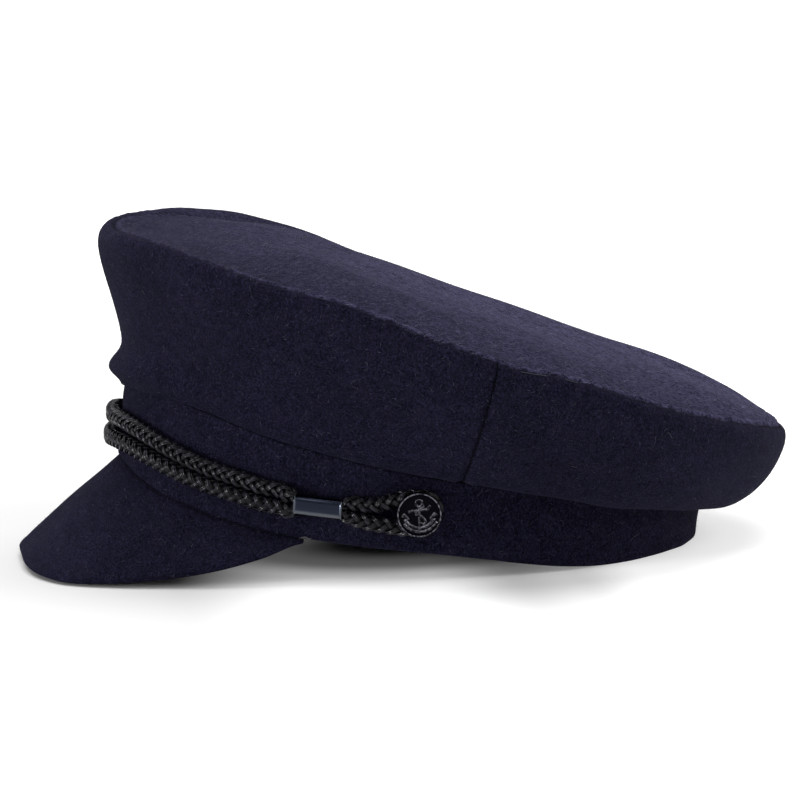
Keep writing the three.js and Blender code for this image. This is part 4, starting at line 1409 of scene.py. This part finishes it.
def thread_paths():
    """Paths and radii of the threads in the crown seam, of the tack at the peak's corner and of the lint."""
    paths = []
    for first, last, share in SEAM_THREADS:
        angle = np.radians(np.linspace(first, last, 16))
        wave = 0.0015 * np.sin(np.linspace(0, 9, 16))
        line = crown_side(angle, share + wave) + outward(angle) * LINT_LIFT
        paths.append((line, THREAD_RADIUS))
    for degrees, height, span, bend in TACK_ENDS:
        angle = np.float64(math.radians(degrees))
        beside = angle + SMALL_STEP
        place = on_band(angle, hem_height(angle) + height * MM, LINT_LIFT)
        right = unit(on_band(beside, hem_height(beside), 0.0) - on_band(angle, hem_height(angle), 0.0))
        line = curl(place, right, UP, outward(angle), 0, span * MM, bend)
        paths.append((line, THREAD_RADIUS * TACK_RADIUS_SHARE))
    for degrees, share, heading, span, bend in LINT:
        angle = np.float64(math.radians(degrees))
        place = crown_side(angle, np.float64(share))
        right = unit(crown_side(angle + SMALL_STEP, np.float64(share)) - place)
        up = unit(place - crown_side(angle, np.float64(share - SMALL_STEP)))
        out = unit(np.cross(right, up))
        line = curl(place + out * LINT_LIFT, right, up, out, heading, span * MM, bend)
        paths.append((line, LINT_RADIUS))
    return paths


def threads(material):
    """All loose threads and lint as one piece."""
    points = []
    faces = []
    for path, radius in thread_paths():
        placed, sides = tube(path, radius)
        faces.extend([[corner + len(points) for corner in face] for face in sides])
        points.extend(placed.tolist())
    return add_piece("loose_threads", points, faces, material)


# Camera and stage

CAMERA_AZIMUTH_DEG = 7
CAMERA_ELEVATION_DEG = 7.92
CAMERA_ROLL_DEG = -1.82
CAMERA_DISTANCE = 1.8
CAMERA_TARGET = (0, -1.8 * MM, 51.1 * MM)
CAMERA_LENS = 229.4
CAMERA_SENSOR = 36

# Soft lights of the studio: name, direction that each shines from, strength and spread in degrees
STUDIO_LIGHTS = (
    ("overhead", (-0.2, 0.0, 1.0), 3.0, 58),
    ("front side", (0.3, -1.0, 0.15), 2.75, 16),
    ("back side", (0.3, 1.0, 0.4), 1.2, 30),
    ("near side", (1.0, 0.15, 0.4), 0.15, 50),
    ("window", (0.75, -0.35, 0.9), 0.3, 20),
)
SURROUND_STRENGTH = 0.5
FLOOR_REACH = 9.0
FLOOR_SPECKLE = 0.985
# Painted light: the floor glows, dimmed as a painted shadow under the cap and towards the peak: its
# strength, its share at distances from the middle of the cap in shares of the ellipse below, and its share
# at places along
# Y as shares of the span below
FLOOR_PAINTED_LIGHT = 0.62
FLOOR_PAINTED_LIGHT_AROUND = ((0.2, 0.0), (0.5, 0.14), (0.8, 0.62), (1.1, 1.0))
FLOOR_PAINTED_LIGHT_ALONG = ((0.12, 0.0), (0.3, 0.95), (0.45, 0.9), (0.57, 0.2), (0.64, 0.35), (0.74, 0.9),
                    (0.9, 1.0))
FLOOR_ELLIPSE = (85 * MM, 105 * MM)
FLOOR_SPAN = (-120 * MM, 140 * MM)


def camera_axes():
    """Right, up and back directions and the place of the photograph's camera."""
    a = math.radians(CAMERA_AZIMUTH_DEG)
    e = math.radians(CAMERA_ELEVATION_DEG)
    back = Vector((math.cos(a) * math.cos(e), -math.sin(a) * math.cos(e), math.sin(e)))
    right = (-back).cross(Vector((0, 0, 1))).normalized()
    up = right.cross(-back)
    roll = math.radians(CAMERA_ROLL_DEG)
    tilted_right = math.cos(roll) * right + math.sin(roll) * up
    tilted_up = -math.sin(roll) * right + math.cos(roll) * up
    target = Vector(CAMERA_TARGET) + Vector((0, shift_y(), 0))
    return tilted_right, tilted_up, back, target + CAMERA_DISTANCE * back


# Operators

class CAP_OT_crown(bpy.types.Operator):
    """Makes the three crown panels of felted wool"""

    bl_idname = "cap.crown"
    bl_label = "Crown panels"

    def execute(self, context):
        wool = wool_look()
        front = crown_panel("crown_front_wool", 0, wool)
        back = crown_panel("crown_back_wool", math.pi, wool)
        top = top_panel(wool)
        finish_piece(front, "wool", "crown_front")
        finish_piece(back, "wool", "crown_back")
        finish_piece(top, "wool", "crown_top")
        return {"FINISHED"}


class CAP_OT_band_and_peak(bpy.types.Operator):
    """Makes the headband and the peak of felted wool"""

    bl_idname = "cap.band_and_peak"
    bl_label = "Band and peak"

    def execute(self, context):
        wool = bpy.data.materials["felted_wool"]
        band = band_ring(wool)
        finish_piece(band, "wool", "headband")
        finish_piece(peak_shell(wool), "wool", "peak")
        return {"FINISHED"}


class CAP_OT_trim_cord(bpy.types.Operator):
    """Makes the braided trim cord"""

    bl_idname = "cap.trim_cord"
    bl_label = "Trim cord"

    def execute(self, context):
        look = braid_look()
        left = braid("trim_braid_left", lambda line: line[:, 0] >= -CORD_SAMPLES, look)
        right = braid("trim_braid_right", lambda line: line[:, 0] <= CORD_SAMPLES, look)
        finish_piece(left, "braid", "trim_cord")
        finish_piece(right, "braid")
        return {"FINISHED"}


class CAP_OT_sleeves(bpy.types.Operator):
    """Makes the metal sleeves on the cord"""

    bl_idname = "cap.sleeves"
    bl_label = "Sleeves"

    def execute(self, context):
        look = sleeve_look()
        points, quads, wear = sleeve()
        marks = {"wear": wear}
        left = add_piece("sleeve_left", points, quads.tolist(), look, marks=marks)
        right = add_piece("sleeve_right", mirror_x(points), quads[:, ::-1].tolist(), look, marks=marks)
        finish_piece(left, "sleeve_metal", "ferrule_left")
        finish_piece(right, "sleeve_metal", "ferrule_right")
        return {"FINISHED"}


class CAP_OT_buttons(bpy.types.Operator):
    """Makes the glossy side buttons with their raised anchors"""

    bl_idname = "cap.buttons"
    bl_label = "Buttons"

    def execute(self, context):
        look = button_look()
        points, faces, glinting = button()
        turned = [face[::-1] for face in faces]
        marks = {"wear": glinting}
        left = add_piece("button_left_gloss", points, faces, look, marks=marks)
        right = add_piece("button_right_gloss", mirror_x(points), turned, look, marks=marks)
        finish_piece(left, "black_gloss", "button_left")
        finish_piece(right, "black_gloss", "button_right")
        return {"FINISHED"}


class CAP_OT_fibres(bpy.types.Operator):
    """Strews loose fibres, threads and lint over the wool"""

    bl_idname = "cap.fibres"
    bl_label = "Wool fibres"

    def execute(self, context):
        size = sizes()
        tree = fibre_tree(fibre_look("loose_fibre", tuple(colours().fibre)))
        # The top's fibres take the painted-lit copy of the fibre colour
        lit_nap_tree = fibre_tree(fibre_look("nap_fibre", tuple(colours().nap_fibre)))
        kinds = (("fuzz", size.fuzz_density, size.fuzz_length, FUZZ_LIFT, COMBED_SPREAD),
                 ("hair", size.hair_density, size.hair_length, HAIR_LIFT, math.pi))
        for name in ("crown_top_wool", "crown_front_wool", "crown_back_wool", "headband_wool", "peak_wool"):
            source = bpy.data.objects[name]
            combed = name == "crown_top_wool"
            for kind, density, span, lift, spread in kinds:
                piece = grown(name.replace("wool", kind), source, lit_nap_tree if combed else tree, {
                    "Density": density / CENTIMETRE ** 2, "Length": span * (COMBED_LONGER if combed else 1),
                    "Width": size.fibre_width, "Spread": spread if combed else math.pi,
                    "Lift": lift, "Seed": size.fibre_seed})
                finish_piece(piece, "wool")
        finish_piece(threads(thread_look()), "wool")
        return {"FINISHED"}


class CAP_OT_stage(bpy.types.Operator):
    """Makes the floor, the lights and the camera"""

    bl_idname = "cap.stage"
    bl_label = "Stage"

    def execute(self, context):
        scene = context.scene
        scene.view_settings.view_transform = "Standard"
        look = Look("pale_floor")
        speckle = look.noise(look.place(), FLOOR_CLOUDS, 2)
        tone = tuple(colours().floor)
        base = look.blend(speckle, tone, darker(tone, FLOOR_SPECKLE))
        # The floor's emission is painted light
        look.surface(Base_Color=base, Roughness=0.9, Specular_IOR_Level=0.1, Emission_Strength=FLOOR_PAINTED_LIGHT,
                     Emission_Color=self.painted_floor_light(look))
        corners = [(x * FLOOR_REACH, y * FLOOR_REACH, 0) for x, y in ((-1, -1), (1, -1), (1, 1), (-1, 1))]
        floor = add_piece("floor", corners, [(0, 1, 2, 3)], look.material, smooth=False)
        right, up, back, place = camera_axes()
        camera = bpy.data.cameras.new("camera")
        camera.sensor_width = CAMERA_SENSOR
        camera.lens = CAMERA_LENS
        holder = bpy.data.objects.new("camera", camera)
        holder.matrix_world = Matrix((
            (right.x, up.x, back.x, place.x), (right.y, up.y, back.y, place.y),
            (right.z, up.z, back.z, place.z), (0, 0, 0, 1)))
        scene.collection.objects.link(holder)
        scene.camera = holder
        for name, place, strength, spread in STUDIO_LIGHTS:
            self.light(name, place, strength, spread)
        self.surround(scene)
        return {"FINISHED"}

    def painted_floor_light(self, look):
        """The floor's painted glow, dimmed as a painted shadow under the cap and towards the peak."""
        wide, long = FLOOR_ELLIPSE
        scaled = look.stretched(look.place(), (1 / wide, 1 / long, 0))
        distance = look.node("ShaderNodeVectorMath", {"operation": "LENGTH"}, {0: scaled}, "Value")
        around = look.ramp(distance * 0.5, *((place / 2, share) for place, share in FLOOR_PAINTED_LIGHT_AROUND))
        y = look.node("ShaderNodeSeparateXYZ", None, {"Vector": look.place()}, "Y")
        start, end = FLOOR_SPAN
        along = look.ramp((y - start) * (1 / (end - start)), *FLOOR_PAINTED_LIGHT_ALONG)
        for ramp in (around, along):
            ramp.socket.node.color_ramp.interpolation = "EASE"
        return look.ramp(around * along, (0.0, 0.0), (1.0, 1.0))

    def light(self, name, place, strength, spread):
        """A soft light that shines evenly on the whole stage from a direction."""
        lamp = bpy.data.lights.new(name, "SUN")
        lamp.energy = strength
        lamp.angle = math.radians(spread)
        holder = bpy.data.objects.new(name, lamp)
        holder.rotation_euler = Vector(place).to_track_quat("Z", "Y").to_euler()
        holder.location = place
        bpy.context.scene.collection.objects.link(holder)

    def surround(self, scene):
        """A dim even surround."""
        world = bpy.data.worlds.new("surround")
        world.use_nodes = True
        background = world.node_tree.nodes["Background"]
        background.inputs["Color"].default_value = (1, 1, 1, 1)
        background.inputs["Strength"].default_value = SURROUND_STRENGTH
        scene.world = world


class CAP_PT_panel(bpy.types.Panel):
    """Lists the sizes, colours and steps of the cap"""

    bl_idname = "CAP_PT_panel"
    bl_label = "Fisherman cap"
    bl_space_type = "VIEW_3D"
    bl_region_type = "UI"
    bl_category = "Cap"

    def draw(self, context):
        for step in STEPS:
            self.layout.operator(step.bl_idname)
        for group in (context.scene.cap_sizes, context.scene.cap_colours):
            for key in group.bl_rna.properties.keys():
                if key not in ("rna_type", "name"):
                    self.layout.prop(group, key)


STEPS = (CAP_OT_crown, CAP_OT_band_and_peak, CAP_OT_trim_cord, CAP_OT_sleeves, CAP_OT_buttons,
         CAP_OT_fibres, CAP_OT_stage)
GROUPS = (CapSizes, CapColours)


def register():
    """Registers the classes and the scene's settings."""
    for kind in (*GROUPS, *STEPS, CAP_PT_panel):
        bpy.utils.register_class(kind)
    bpy.types.Scene.cap_sizes = PointerProperty(type=CapSizes)
    bpy.types.Scene.cap_colours = PointerProperty(type=CapColours)


def unregister():
    """Removes the classes and the scene's settings."""
    del bpy.types.Scene.cap_colours
    del bpy.types.Scene.cap_sizes
    for kind in reversed((*GROUPS, *STEPS, CAP_PT_panel)):
        bpy.utils.unregister_class(kind)


def main():
    """Makes every piece and the stage."""
    register()
    for step in STEPS:
        module, name = step.bl_idname.split(".")
        getattr(getattr(bpy.ops, module), name)()


if __name__ == "__main__":
    main()
